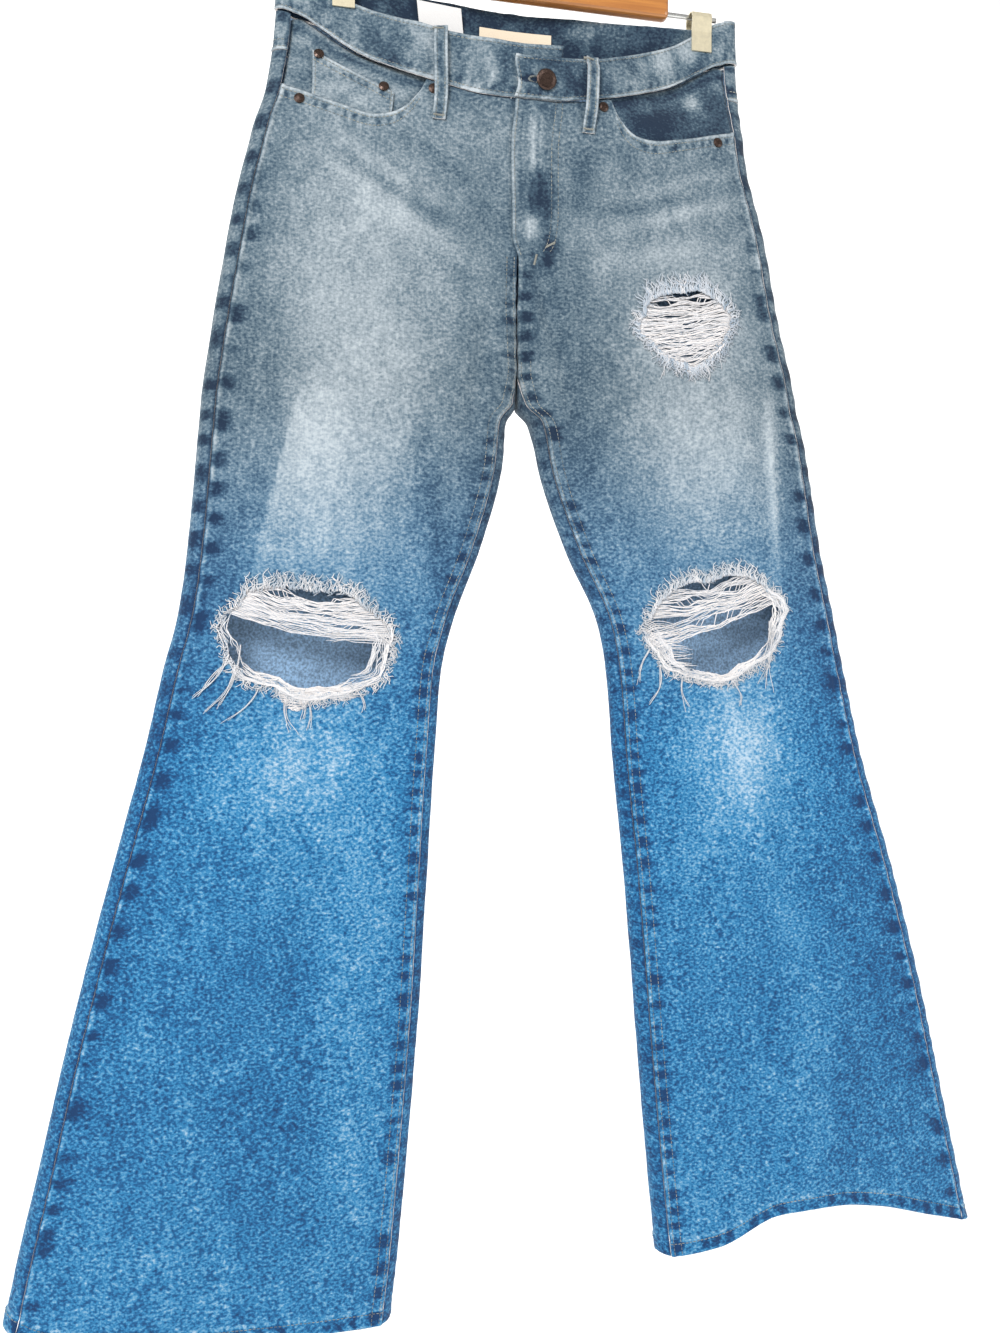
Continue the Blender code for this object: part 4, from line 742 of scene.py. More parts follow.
def front_layer(side):
    """Front panel: rows down the leg by columns from the fly or inseam to the outseam."""

    def distance_of(z):
        inner = front_inner(side, z)
        return inner + (outline("half", z) - OUTSEAM_INSET - inner) * FRONT_SHARES[None, :]

    z = leg_heights(side, distance_of(LEVELS[:, None]), front_top)
    distance = distance_of(z)
    x, z, gone, torn = open_rips(side, side * distance + outline("sway", z), z)
    distance = side * (x - outline("sway", z))
    seams = dict(
        inner=distance - front_inner(side, z),
        outer=outline("half", z) - OUTSEAM_INSET - distance,
        hem=z - hem_height(side, distance),
        top=front_top(distance) - z,
    )
    seams["scoop"] = np.where(distance > SCOOP_START + 0.001, seams["top"], 1.0)
    seams["fly"] = distance - smooth(z, FLY_STITCH[0], FLY_STITCH[1])
    legs = 1 - step(0.300, 0.335, z)
    fly = step(FLY_FOOT - 0.025, FLY_FOOT, z)
    scoop = step(SCOOP_START - 0.002, SCOOP_START + 0.001, distance)
    edge = bell(seams["outer"], 0.0019, 0.0017)
    inner_edge = bell(seams["inner"], 0.0016, 0.0014) * (legs if side < 0 else 1.0)
    turned_up = 1 - step(0.0115, 0.0135, seams["hem"])
    hem_line = bell(seams["hem"], 0.0012, 0.0014)
    lip = bell(seams["top"], 0.0013, 0.0013) * scoop
    relief = (
        swells(CREASES["front"], "rise", x, z) + unevenness(x, z, side + 5)
        + 0.0009 * edge - 0.0004 * bell(seams["outer"], 0.0050, 0.0016)
        + 0.0008 * inner_edge
        + 0.00045 * puckers(z, OUTSEAM_PUCKERS, side + 3) * np.exp(-seams["outer"] / 0.010)
        + 0.00040 * puckers(z, INSEAM_PUCKERS, side + 9)
        * np.exp(-np.maximum(seams["inner"], 0) / 0.008) * legs
        + 0.0006 * turned_up - 0.0005 * bell(seams["hem"], HEM_FOLD, 0.0012) + 0.0006 * hem_line
        + 0.0005 * puckers(x + 0.4 * z, HEM_PUCKERS, side + 4) * bell(seams["hem"], 0.0070, 0.0050)
        + 0.0009 * lip + 0.0003 * puckers(distance, 0.0075, 6) * bell(seams["top"], 0.0070, 0.0030) * scoop
        + 0.0007 * torn
    )
    if side > 0:
        relief = relief + 0.0034 * bell(distance, 0.124, 0.019) * np.exp(-np.maximum(seams["top"], 0) / 0.009)
    ropes_out = roping(z, OUTSEAM_ROPES, side + 2) * bell(seams["outer"], 0.0060, 0.0068)
    ropes_out = ropes_out * (1 - step(0.28, 0.42, z))
    ropes_in = roping(z, INSEAM_ROPES, side + 6) * bell(seams["inner"], 0.0058, 0.0062) * legs
    blocks = roping(x, 0.0125, side + 8) * bell(seams["hem"], 0.0062, 0.0056)
    worn = 0.6 + 0.4 * wander(z / 0.012, x / 0.05, side + 14)
    fade = (
        washed_and_lit("front", x, z)
        # The pale ridge along the outseam is wear; the dark line just outside it is painted shadow in the gap
        # of the seam
        + 0.42 * edge * worn - 0.34 * bell(seams["outer"], 0.0, 0.0009)
        - 0.08 * np.exp(-seams["outer"] / 0.030) - 0.50 * ropes_out
        + 0.34 * inner_edge * worn - 0.50 * ropes_in
        - 0.52 * blocks + 0.22 * bell(seams["hem"], 0.0128, 0.0016)
        + 0.14 * bell(seams["hem"], 0.0004, 0.0010)
        + 0.46 * lip * (0.6 + 0.5 * wander(distance / 0.004, 1, side + 15))
        - 0.42 * roping(distance, 0.0080, side + 5) * bell(seams["top"], 0.0068, 0.0034) * scoop
        + 0.10 * bell(seams["top"], 0.0068, 0.0050) * scoop
        # Painted shade below the waistband between the pocket openings, and a painted shadow on the left
        # panel beside the fly's lap
        - 0.16 * np.exp(-np.maximum(seams["top"], 0) / 0.012) * (1 - scoop)
        - 0.20 * np.exp(-np.maximum(seams["inner"], 0) / 0.004) * fly * (side < 0)
        + fly * step(0.0, 0.004, distance) * (1 - step(0.026, 0.031, distance)) * (side > 0)
        * (0.16 * wander(distance / 0.0024, z / 0.040, 17) - 0.06)
        + 0.26 * torn * (0.7 + 0.4 * wander(x / 0.004, z / 0.004, 18))
    )
    lap = side * (WALL + LAYER_GAP) / 2 * fly * (1 - step(0.020, 0.045, np.abs(distance)))
    base = body_point(side, "front", distance, z)
    layer = Layer(base, WALL / 2 + lap + relief, FORWARD, fade, greyness(z), at=(3, 40), gone=gone)
    layer.seams = seams
    return layer


def back_distances(z, inner):
    """Distances of the back's columns: across the sheet, then round its outer edge to the front."""
    half = outline("half", z)
    across = len(BACK_SHARES)
    wrap = across + len(WRAP_BACK)
    sheet = inner + (half[:, :across] - WRAP - inner) * BACK_SHARES[None, :]
    return np.concatenate([sheet, half[:, across:wrap] - WRAP_BACK, half[:, wrap:] - WRAP_FRONT], axis=1)


BACK_COLUMNS = len(BACK_SHARES) + len(WRAP_BACK) + len(WRAP_FRONT)
ON_FRONT = np.arange(BACK_COLUMNS) >= len(BACK_SHARES) + len(WRAP_BACK)


def round_the_edge(side, distance, z):
    """Points of the back sheet that go over to the front sheet at the outer edge."""
    back = body_point(side, "back", distance, z)
    front = body_point(side, "front", distance, z)
    return np.where(ON_FRONT[None, :, None], front, back)


def back_layers(side):
    """Back panel: the back sheet with its wrap, and the strip round the inner edge up to the crotch."""
    level = np.repeat(LEVELS[:, None], BACK_COLUMNS, axis=1)
    z = leg_heights(side, back_distances(level, outline("gap", LEVELS[:, None])), back_top)
    inner = back_inner(z[:, :1])
    distance = back_distances(z, inner)
    base = round_the_edge(side, distance, z)
    x = side * distance + outline("sway", z)
    front = ON_FRONT[None, :].astype(float)
    seams = dict(
        inner=distance - inner + 1.0 * front,
        outer=np.where(ON_FRONT[None, :], distance - (outline("half", z) - OUTSEAM_INSET + SEAM_GAP), 1.0),
        hem=z - hem_height(side, distance),
        top=back_top(distance) - z,
    )
    centre = step(BACK_FORK + 0.01, BACK_DIP + 0.01, z)
    relief = (
        (swells(CREASES["back"], "rise", x, z) + unevenness(x, z, side + 25)) * (1 - 0.7 * front)
        + 0.0006 * bell(seams["inner"], 0.0018, 0.0015) * centre
        + 0.0003 * puckers(z, OUTSEAM_PUCKERS, side + 3) * front
        + 0.0006 * (1 - step(0.0115, 0.0135, seams["hem"])) - 0.0005 * bell(seams["hem"], HEM_FOLD, 0.0012)
        + 0.0005 * puckers(x - 0.4 * z, HEM_PUCKERS, side + 44) * bell(seams["hem"], 0.0070, 0.0050)
    )
    strip_ropes = roping(z, OUTSEAM_ROPES, side + 32) * step(-0.16, 0.10, z) * front
    fade = (
        washed_and_lit("back", x, z) * (1 - front) + (washed_and_lit("front", x, z) - 0.05) * front
        # Painted shadow: a dark line at the outseam, where the wrap meets the front panel
        - 0.34 * bell(seams["outer"], 0.0, 0.0016) * front
        - 0.48 * strip_ropes * bell(seams["outer"], 0.0060, 0.0055)
        + 0.12 * bell(seams["outer"], 0.0110, 0.0022) * front
        - 0.50 * roping(x, 0.0120, side + 48) * bell(seams["hem"], 0.0062, 0.0050)
        + 0.34 * bell(seams["hem"], 0.0128, 0.0016) + 0.40 * bell(seams["hem"], 0.0004, 0.0010)
        + 0.30 * bell(seams["inner"], 0.0018, 0.0016) * centre
        - 0.30 * roping(z, INSEAM_ROPES, side + 46) * bell(seams["inner"], 0.0050, 0.0060)
    )
    main = Layer(base, WALL / 2 + relief, BACKWARD, fade, greyness(z), at=(200, 30))
    main.seams = seams
    rows = z[:, 0] < CROTCH
    height = z[rows, :1]
    start = np.where(height > BACK_FORK, CROTCH_CLEAR, inner[rows])
    seam = np.maximum(front_inner(side, height) - SEAM_GAP, start + 0.0002)
    shares = np.linspace(0, 1, 9)[None, :]
    strip_distance = start + (seam - start) * shares
    strip_base = body_point(side, "front", strip_distance, height + 0 * shares)
    strip_x = side * strip_distance + outline("sway", height)
    ropes = roping(height, INSEAM_ROPES, side + 36) * (1 - np.abs(2 * shares - 0.9)) * 0.30
    # The strip darkens towards its seam with the front panel: a painted shadow line along the inseam
    strip_fade = washed_and_lit("front", strip_x, height + 0 * shares) - 0.06 - ropes - 0.30 * bell(shares, 1.0, 0.14)
    strip_out = np.full(strip_base.shape[:2], WALL / 2) + 0.0002 * puckers(height, INSEAM_PUCKERS, side + 9)
    strip_out[:, 0] = WALL / 2 + relief[rows, 0]
    strip = Layer(strip_base, strip_out, FORWARD, strip_fade, greyness(height), at=(150, 6))
    strip.grid[:, 0] = main.grid[rows, 0]
    return [main, strip]


def yoke_layer(side):
    """Back yoke between the waistband and the back panel, with its own wrap to the outseam."""
    shares = eased(26, 0.5)[:, None]
    top_at = np.full((1, BACK_COLUMNS), BAND_AT)
    foot_at = np.full((1, BACK_COLUMNS), YOKE_FOOT_AT)
    top = along(BACK_WAIST, "x", "seam", back_distances(top_at, outline("gap", top_at[:, :1]))) - WAIST_GAP
    foot = along(BACK_WAIST, "x", "yoke", back_distances(foot_at, outline("gap", foot_at[:, :1])))
    z = top + (foot - top) * shares
    inner = back_inner(z[:, :1])
    distance = back_distances(z, inner)
    base = round_the_edge(side, distance, z)
    x = side * distance + outline("sway", z)
    front = ON_FRONT[None, :].astype(float)
    seams = dict(
        inner=distance - inner + front,
        outer=np.where(ON_FRONT[None, :], distance - (outline("half", z) - OUTSEAM_INSET + SEAM_GAP), 1.0),
        foot=z - foot,
    )
    strip_ropes = roping(z, OUTSEAM_ROPES, side + 32) * front
    relief = (
        unevenness(x, z, side + 28) + 0.0007 * bell(seams["foot"], 0.0015, 0.0014)
        + 0.0004 * puckers(distance, 0.012, side + 29) * bell(seams["foot"], 0.0060, 0.0050)
    )
    fade = (
        washed_and_lit("back", x, z) + 0.05 + 0.35 * bell(seams["foot"], 0.0014, 0.0015)
        - 0.30 * roping(distance, 0.013, side + 30) * bell(seams["foot"], 0.0065, 0.0050)
        + 0.30 * bell(seams["inner"], 0.0018, 0.0016)
        # Painted shadow: a dark line at the outseam, where the wrap meets the front panel
        - 0.34 * bell(seams["outer"], 0.0, 0.0016) * front
        - 0.45 * strip_ropes * bell(seams["outer"], 0.0060, 0.0055)
    )
    layer = Layer(base, WALL / 2 + relief, BACKWARD, fade, 1.0, at=(12, 30))
    layer.seams = seams
    return layer


# Waistband, loops and pockets


BAND_ROWS = 26


def band_run(side, sheet, distance, key):
    """A stretch of the waistband: rows up it by columns along it, with its share of the height."""
    share = eased(BAND_ROWS, 0.5)[:, None]
    table = FRONT_WAIST if sheet == "front" else BACK_WAIST
    places = np.abs(distance)
    seam = along(table, "x", "seam", places)
    top = along(table, "x", key if sheet == "front" else "top", places)
    z = seam + (top - seam) * share
    return body_point(side, sheet, distance + 0 * z, z), z, distance + 0 * z, share + 0 * z


def band_layer():
    """Waistband from its lapping end round the back to the end below, as rows by columns."""
    lap = (BAND_WALL + LAYER_GAP) / 2
    edge = float(FRONT_WAIST[-1]["x"])
    share = eased(BAND_ROWS, 0.5)[:, None]
    halves = []
    for side, key, start in ((1, "top_right", -OVERLAP), (-1, "top_left", -UNDERLAP)):
        wave = 0.0016 * np.sin(2 * math.pi * (share - 0.1)) if side > 0 else 0.0
        near = np.linspace(start, 0.045, 62)[None, :-1] + 0 * share
        near = near + wave * (1 - (near - start) / (0.045 - start)) ** 4
        front = np.concatenate([near, np.linspace(0.045, 0.185, 60)[None, :] + 0 * share], axis=1)
        back = np.repeat(np.linspace(0.185, 0.0, 76)[None, :], BAND_ROWS, axis=0)
        runs = [(*band_run(side, "front", front, key), side * lap * (1 - step(0.045, 0.075, front)))]
        to_edge = [(gone, "front") for gone in (0.0105, 0.008, 0.006, 0.004, 0.002, 0.0008, 0.0)]
        from_edge = [(gone, "back") for gone in (0.0008, 0.002, 0.004, 0.006, 0.008, 0.0105)]
        for gone, sheet in to_edge + from_edge:
            runs.append((*band_edge(side, sheet, edge, gone, key), np.zeros((BAND_ROWS, 1))))
        runs.append((*band_run(side, "back", back, key), np.zeros(back.shape)))
        halves.append([np.concatenate(kind, axis=1) for kind in zip(*runs)])
    joined = [np.concatenate([a, b[:, -2::-1]], axis=1) for a, b in zip(*halves)]
    base, z, distance, share, out = joined
    along_band = np.concatenate([np.zeros((BAND_ROWS, 1)),
                                 np.cumsum(np.linalg.norm(np.diff(base, axis=1), axis=-1), axis=1)], axis=1)
    low = share * 0.040
    high = (1 - share) * 0.040
    reach = ((distance - BUTTON_X + 0.0120) / 0.0120) ** 2 + ((z - BUTTON_Z) / 0.0026) ** 2
    hole = np.exp(-(reach**2)) * (along_band < 0.06)
    relief = (
        0.00045 * wander(along_band / 0.011, share * 1.6, 41)
        + 0.0002 * wander(along_band / 0.004, share * 4, 42)
        + 0.0005 * bell(low, 0.0014, 0.0014) + 0.0005 * bell(high, 0.0012, 0.0013)
        + 0.00025 * puckers(along_band, 0.0085, 43) * bell(low, 0.0050, 0.0040)
        + 0.0006 * bell(along_band, 0.0014, 0.0014) - 0.0014 * hole
        + 0.0006 * bell(np.sqrt(hole), 0.35, 0.2) * (hole < 0.9)
    )
    fade = (
        0.46 + 0.20 * wander(along_band / 0.024, share * 1.3, 44)
        + 0.20 * wander(along_band / 0.009, share * 3, 45)
        + 0.26 * bell(low, 0.0012, 0.0014) + 0.22 * bell(high, 0.0010, 0.0014)
        - 0.26 * roping(along_band, 0.0085, 46) * bell(low, 0.0062, 0.0035)
        + 0.36 * bell(along_band, 0.0010, 0.0014)
        # Painted shade: dark in the buttonhole, which is not cut, and on the back of the band, which is seen
        # from inside through the waist; the front of the band is also darker round X = 0.04
        - 0.70 * hole - 0.34 * (base[..., 1] > 0.001)
        - 0.32 * bell(base[..., 0], 0.040, 0.022) * (base[..., 1] < 0.001)
    )
    layer = Layer(base, BAND_PROUD + out + BAND_WALL / 2 + relief, FORWARD, fade, 1.0, at=(6, 4))
    layer.seams = dict(low=low, high=high, end=along_band)
    return layer


def band_edge(side, sheet, edge, gone, key):
    """One column of the waistband where it folds over at the side."""
    share = eased(BAND_ROWS, 0.5)[:, None]
    table = FRONT_WAIST if sheet == "front" else BACK_WAIST
    seam = along(table, "x", "seam", edge - gone)
    top = along(table, "x", key if sheet == "front" else "top", edge - gone)
    z = seam + (top - seam) * share
    distance = outline("half", z) - gone
    return body_point(side, sheet, distance, z), z, distance, share


def patch_layer(side, sheet, distance, z, out, fade, seams, at=(4, 4)):
    """A patch of cloth on the form, with its relief added to the distance out."""
    base = body_point(side, sheet, distance, z)
    x = side * distance + outline("sway", z)
    relief = 0.6 * unevenness(x, z, side + 50) + swells(CREASES[sheet], "rise", x, z)
    layer = Layer(base, out + relief, FORWARD if sheet == "front" else BACKWARD, fade, 1.0, at=at)
    layer.seams = seams
    return layer


def facing_layer(side):
    """Denim facing behind the pocket opening, from the waist seam to below the scoop."""
    share = eased(52, 0.3)[None, :]
    rows = np.linspace(0, 1, 34)[:, None]
    place = FACING_START + (FACING_END - FACING_START) * share
    top = along(FRONT_WAIST, "x", "seam", place) - WAIST_GAP
    foot = along(SCOOP, "x", "z", np.maximum(place, 0.100)) - 0.022
    top = top + 0.0050 * step(0.0, 0.008, FACING_END - place)
    z = top + (foot - top) * rows
    outer = outline("half", z) - OUTSEAM_INSET - 0.0004
    distance = FACING_START + (outer - FACING_START) * share
    deep = 2 if side < 0 else 1
    deeper = 0.0006 * (1 - step(0.080, 0.105, place))
    out = WALL / 2 - deep * (WALL + LAYER_GAP + CURVE_GAP) - deeper
    if side > 0:
        out = out - 0.0020 * bell(place, 0.124, 0.024) * (1 - step(0.010, 0.030, top - z))
    # Painted shade: darker just under the waist seam, and a little darker further down into the pocket
    shade_under_seam = bell(top - z, 0.0070, 0.0040)
    shadowed = step(0.006, 0.028, top - z) * 0.10
    fade = 0.62 + 0.15 * wander(distance / 0.014, z / 0.010, side + 52) - 0.30 * shade_under_seam - shadowed
    if side > 0:
        above_scoop = z - along(SCOOP, "x", "z", place)
        # Painted shade: the right facing is darker all over, and darkest in the mouth of the gaping pocket
        fade = fade - 0.24 - 0.34 * bell(place, 0.118, 0.028) * bell(above_scoop, 0.016, 0.016)
        fade = fade + 0.45 * bell(place, 0.150, 0.008) * bell(z, 0.483, 0.008)
    return patch_layer(side, "front", distance, z, out, fade, dict(outer=outer - distance, top=top - z))


def coin_layer():
    """Coin pocket: a small patch whose top edge slants down towards the fly."""
    rows = eased(30, 0.4)[:, None]
    share = eased(34, 0.5)[None, :]
    inner, outer = COIN_POCKET
    distance = inner["x"] + (outer["x"] - inner["x"]) * share + 0 * rows
    top = inner["top"] + (outer["top"] - inner["top"]) * share
    z = top + (inner["foot"] - top) * rows
    seams = dict(top=top - z, inner=distance - inner["x"], outer=outer["x"] - distance)
    out = WALL / 2 - (WALL + LAYER_GAP + CURVE_GAP) + 0.0005 * bell(seams["top"], 0.0013, 0.0013)
    fade = (
        0.60 + 0.14 * wander(distance / 0.012, z / 0.010, 55) + 0.20 * bell(seams["top"], 0.0012, 0.0014)
        + 0.20 * bell(seams["inner"], 0.0010, 0.0013) + 0.20 * bell(seams["outer"], 0.0010, 0.0013)
        - 0.30 * roping(distance, 0.0060, 56) * bell(seams["top"], 0.0065, 0.0030)
    )
    return patch_layer(-1, "front", distance, z, out, fade, seams)


def back_pocket_layer(side):
    """Patch pocket: straight top, sides that draw in a little, and a pointed foot."""
    rows = eased(60, 0.5)[:, None]
    across = 2 * eased(60, 0.5)[None, :] - 1
    width = BACK_POCKET["half"] - BACK_POCKET["narrow"] * rows
    distance = BACK_POCKET["x"] + width * across
    top = BACK_POCKET["top"] + BACK_POCKET["slant"] * across
    foot = BACK_POCKET["foot"] - BACK_POCKET["point"] * (1 - np.abs(across))
    z = top + (foot - top) * rows
    seams = dict(side=width * (1 - np.abs(across)), top=top - z, foot=z - foot)
    seams["left_side"] = width * (1 + across)
    seams["right_side"] = width * (1 - across)
    rim = np.minimum(seams["side"], seams["foot"])
    ridges = 0.0005 * bell(rim, 0.0012, 0.0012) + 0.0005 * bell(seams["top"], 0.0014, 0.0014)
    out = WALL * 1.5 + LAYER_GAP + CURVE_GAP + ridges
    fade = (
        0.50 + 0.12 * bell(across, 0.0, 0.6) + 0.08 * wander(distance / 0.03, z / 0.03, side + 57)
        + 0.34 * bell(rim, 0.0010, 0.0014) + 0.34 * bell(seams["top"], 0.0012, 0.0016)
        - 0.26 * roping(distance + z, 0.012, side + 58) * bell(rim, 0.0060, 0.0045)
        - 0.24 * roping(distance, 0.012, side + 59) * bell(seams["top"], 0.0090, 0.0060)
    )
    return patch_layer(side, "back", distance, z, out, fade, seams, at=(20, 20))


def loop_layer(row):
    """Belt loop: flat on the panel at its foot, clear of the band, and down on the band at its head."""
    foot, seam, top = row["foot"], row["seam"], row["top"]
    heights = np.array([foot, foot + 0.006, seam - 0.006, seam + 0.008, (seam + top) / 2, top - 0.008,
                        top - 0.003, top + 0.0012])
    panel_face = WALL / 2 + LAYER_GAP + LOOP_HALF
    band_face = BAND_PROUD + BAND_WALL / 2 + LAYER_GAP + LOOP_HALF + row["out"]
    clear = band_face + LOOP_CLEAR
    outs = np.array([panel_face, panel_face, clear - 0.001, clear, clear, clear - 0.0004, band_face + 0.0004,
                     band_face])
    z = np.linspace(foot, top + 0.0012, 56)[:, None]
    across = np.linspace(-0.5, 0.5, 15)[None, :]
    distance = row["x"] + LOOP_WIDTH * across + 0 * z
    out = smooth(z, heights, outs) + 0 * across
    rim = (0.5 - np.abs(across)) * LOOP_WIDTH + 0 * z
    out = out + 0.00045 * bell(rim, 0.0012, 0.0011) - 0.0003 * bell(across, 0.0, 0.12)
    seed = row["x"] * 300 + row["side"]
    fade = (
        0.52 + 0.30 * bell(rim, 0.0010, 0.0012) - 0.20 * bell(across, 0.0, 0.16)
        + 0.12 * wander(z / 0.007, across * 3, seed) - 0.25 * bell(z, foot + 0.0035, 0.0016)
    )
    seams = dict(rim=rim, across=across + 0 * z)
    return patch_layer(row["side"], row["sheet"], distance, z + 0 * across, out, fade, seams)


# Shading


class Socket:
    """A shader value that can be added, multiplied and so on, each time by a math node."""

    def __init__(self, finish, output):
        self.finish, self.output = finish, output

    def maths(self, operation, first, second):
        return self.finish.node("ShaderNodeMath", [first, second], operation=operation)

    def __add__(self, other):
        return self.maths("ADD", self, other)

    def __radd__(self, other):
        return self.maths("ADD", other, self)

    def __sub__(self, other):
        return self.maths("SUBTRACT", self, other)

    def __rsub__(self, other):
        return self.maths("SUBTRACT", other, self)

    def __mul__(self, other):
        return self.maths("MULTIPLY", self, other)

    def __rmul__(self, other):
        return self.maths("MULTIPLY", other, self)


class Finish:
    """A material of one Principled shader, and the nodes that feed it."""

    def __init__(self, name, **constants):
        self.material = bpy.data.materials.new(name)
        self.material.use_nodes = True
        self.tree = self.material.node_tree
        self.shader = self.tree.nodes["Principled BSDF"]
        for key, value in constants.items():
            self.shader.inputs[key.replace("_", " ")].default_value = value

    def node(self, kind, inputs=(), output=0, **settings):
        """A node with its settings and inputs, given by place or by name; returns one of its outputs."""
        made = self.tree.nodes.new(kind)
        stops = settings.pop("stops", None)
        for key, value in settings.items():
            setattr(made, key, value)
        if stops:
            ramp = made.color_ramp.elements
            while len(ramp) < len(stops):
                ramp.new(0.5)
            for element, (place, colour) in zip(ramp, stops):
                element.position, element.color = place, (*colour, 1.0)
        pairs = inputs.items() if isinstance(inputs, dict) else enumerate(inputs)
        for key, value in pairs:
            if isinstance(value, Socket):
                self.tree.links.new(value.output, made.inputs[key])
            else:
                made.inputs[key].default_value = value
        return Socket(self, made.outputs[output])

    def feed(self, key, value):
        self.tree.links.new(value.output, self.shader.inputs[key])

    def places(self, scale, turn=0.0):
        """Object coordinates, turned in the plane of the front and scaled."""
        at = self.node("ShaderNodeTexCoord", output="Object")
        return self.node("ShaderNodeMapping", {"Vector": at, "Rotation": (0, turn, 0), "Scale": scale})

    def noise(self, scale, turn=0.0, detail=2.0):
        inputs = {"Vector": self.places(scale, turn), "Scale": 1.0, "Detail": detail}
        return self.node("ShaderNodeTexNoise", inputs)

    def ramp(self, share, *stops):
        """Colours the surface by a ramp over the share."""
        self.feed("Base Color", self.node("ShaderNodeValToRGB", [share], stops=stops))

    def bump(self, height, strength, distance):
        inputs = {"Height": height, "Strength": strength, "Distance": distance}
        self.feed("Normal", self.node("ShaderNodeBump", inputs))

    def blend(self, share, first, second):
        """Mixes two colours by a share."""
        inputs = {0: share, 6: first, 7: second}
        return self.node("ShaderNodeMix", inputs, output=2, data_type="RGBA")


BLUES = [(0.0, (0.004, 0.030, 0.095)), (0.3, (0.008, 0.076, 0.195)), (0.5, (0.022, 0.162, 0.330)),
         (0.7, (0.100, 0.250, 0.395)), (1.0, (0.34, 0.44, 0.53))]
GREYS = [(0.0, (0.007, 0.018, 0.038)), (0.3, (0.033, 0.062, 0.092)), (0.5, (0.092, 0.132, 0.162)),
         (0.7, (0.195, 0.235, 0.262)), (1.0, (0.37, 0.41, 0.435))]


def denim_finish(name, lighter):
    """Washed denim: its paleness comes from the wash attribute, which also holds painted shade and light,
    broken up by the grain of the twill.
    """
    finish = Finish(name, Roughness=0.92, Sheen_Weight=0.08, Sheen_Roughness=0.5, Specular_IOR_Level=0.25)
    wash = finish.node("ShaderNodeAttribute", output="Color", attribute_name="wash")
    fade = finish.node("ShaderNodeSeparateColor", [wash], output=0)
    grey = finish.node("ShaderNodeSeparateColor", [wash], output=1)
    grain = finish.noise((360, 360, 500), math.radians(40), 2.0)
    slubs = finish.noise((800, 800, 130), 0.0, 2.0)
    cloud = finish.noise((70, 70, 46), 0.0, 3.0)
    strength = 1.75 - grey * 0.60 - fade * 0.55
    broken = (grain - 0.5) * strength + (slubs - 0.5) * 0.25 + (cloud - 0.5) * 0.30
    paleness = fade + broken + lighter
    blue = finish.node("ShaderNodeValToRGB", [paleness], stops=BLUES)
    pale = finish.node("ShaderNodeValToRGB", [paleness], stops=GREYS)
    finish.feed("Base Color", finish.blend(grey, blue, pale))
    finish.bump(grain + slubs * 0.4, 0.6, 0.0007)
    return finish.material


def yarn_finish(name, dark, light, roughness=0.9):
    """Thread whose colour runs between two by the tint of each strand."""
    finish = Finish(name, Roughness=roughness, Specular_IOR_Level=0.2)
    tint = finish.node("ShaderNodeAttribute", output="Fac", attribute_name="tint")
    grain = finish.noise((900, 900, 900), 0.0, 1.0)
    share = tint + (grain - 0.5) * 0.4
    finish.ramp(share, (0.0, dark), (1.0, light))
    return finish.material


def fray_finish(name, colour):
    finish = Finish(name, Roughness=0.95, Specular_IOR_Level=0.2)
    grain = finish.noise((700, 700, 700), 0.0, 2.0)
    darker = tuple(0.55 * value for value in colour)
    finish.ramp(grain, (0.3, darker), (0.7, colour))
    return finish.material


def plain_finish(name, colour, roughness, metallic=0.0, spotted=0.0, scale=400.0, **constants):
    """One colour, made slightly uneven by a fine noise."""
    finish = Finish(name, Roughness=roughness, Metallic=metallic, **constants)
    grain = finish.noise((scale, scale, scale), 0.0, 3.0)
    darker = tuple(value * (1 - spotted) for value in colour)
    lighter = tuple(min(1.0, value * (1 + spotted)) for value in colour)
    finish.ramp(grain, (0.35, darker), (0.65, lighter))
    finish.bump(grain, 0.15, 0.0002)
    return finish.material


def wood_finish(name, dark, light):
    """Varnished amber wood with its grain along the bar."""
    finish = Finish(name, Roughness=0.30, Coat_Weight=0.35, Coat_Roughness=0.15)
    grain = finish.noise((14, 160, 420), 0.0, 5.0)
    broad = finish.noise((5, 60, 90), 0.0, 2.0)
    share = grain * 0.6 + broad * 0.5 - 0.05
    finish.ramp(share, (0.30, dark), (0.70, light))
    finish.bump(grain, 0.12, 0.0003)
    return finish.material


# Torn threads

# Bands of weft threads left across each rip, in its own frame: from one height to another, over a share of
# the way across, sagging in the middle and sloping
WEFT = {
    "knee_left": records("high low start end sag slope count", [
        (0.04, 0.013, 0, 1.0, 0.007, 0, 50), (0.012, 0.004, 0.62, 1.0, 0, 0.006, 10),
    ]),
    "knee_right": records("high low start end sag slope count", [
        (0.041, 0.02, 0, 1.0, 0.006, 0, 34), (0.019, 0.002, 0, 1.0, 0.003, 0.018, 17),
        (0.015, -0.026, 0, 0.22, 0, -0.01, 26),
    ]),
    "thigh_right": records("high low start end sag slope count", [
        (0.03, -0.032, 0, 1.0, 0.003, 0, 96), (0.02, -0.025, 0, 1.0, 0.001, 0.01, 34),
    ]),
}
# Bundles that follow the torn edge: from one direction to another, in degrees, over shares of the radius
RIM = {
    "knee_left": [(190, 352, 0.84, 1.04, 64), (322, 388, 0.74, 1.00, 30), (164, 200, 0.86, 1.04, 9)],
    "knee_right": [(200, 345, 0.88, 1.04, 40), (-38, 36, 0.84, 1.03, 26), (160, 236, 0.78, 1.03, 36)],
    "thigh_right": [(200, 250, 0.92, 1.02, 5), (290, 344, 0.92, 1.02, 5)],
}
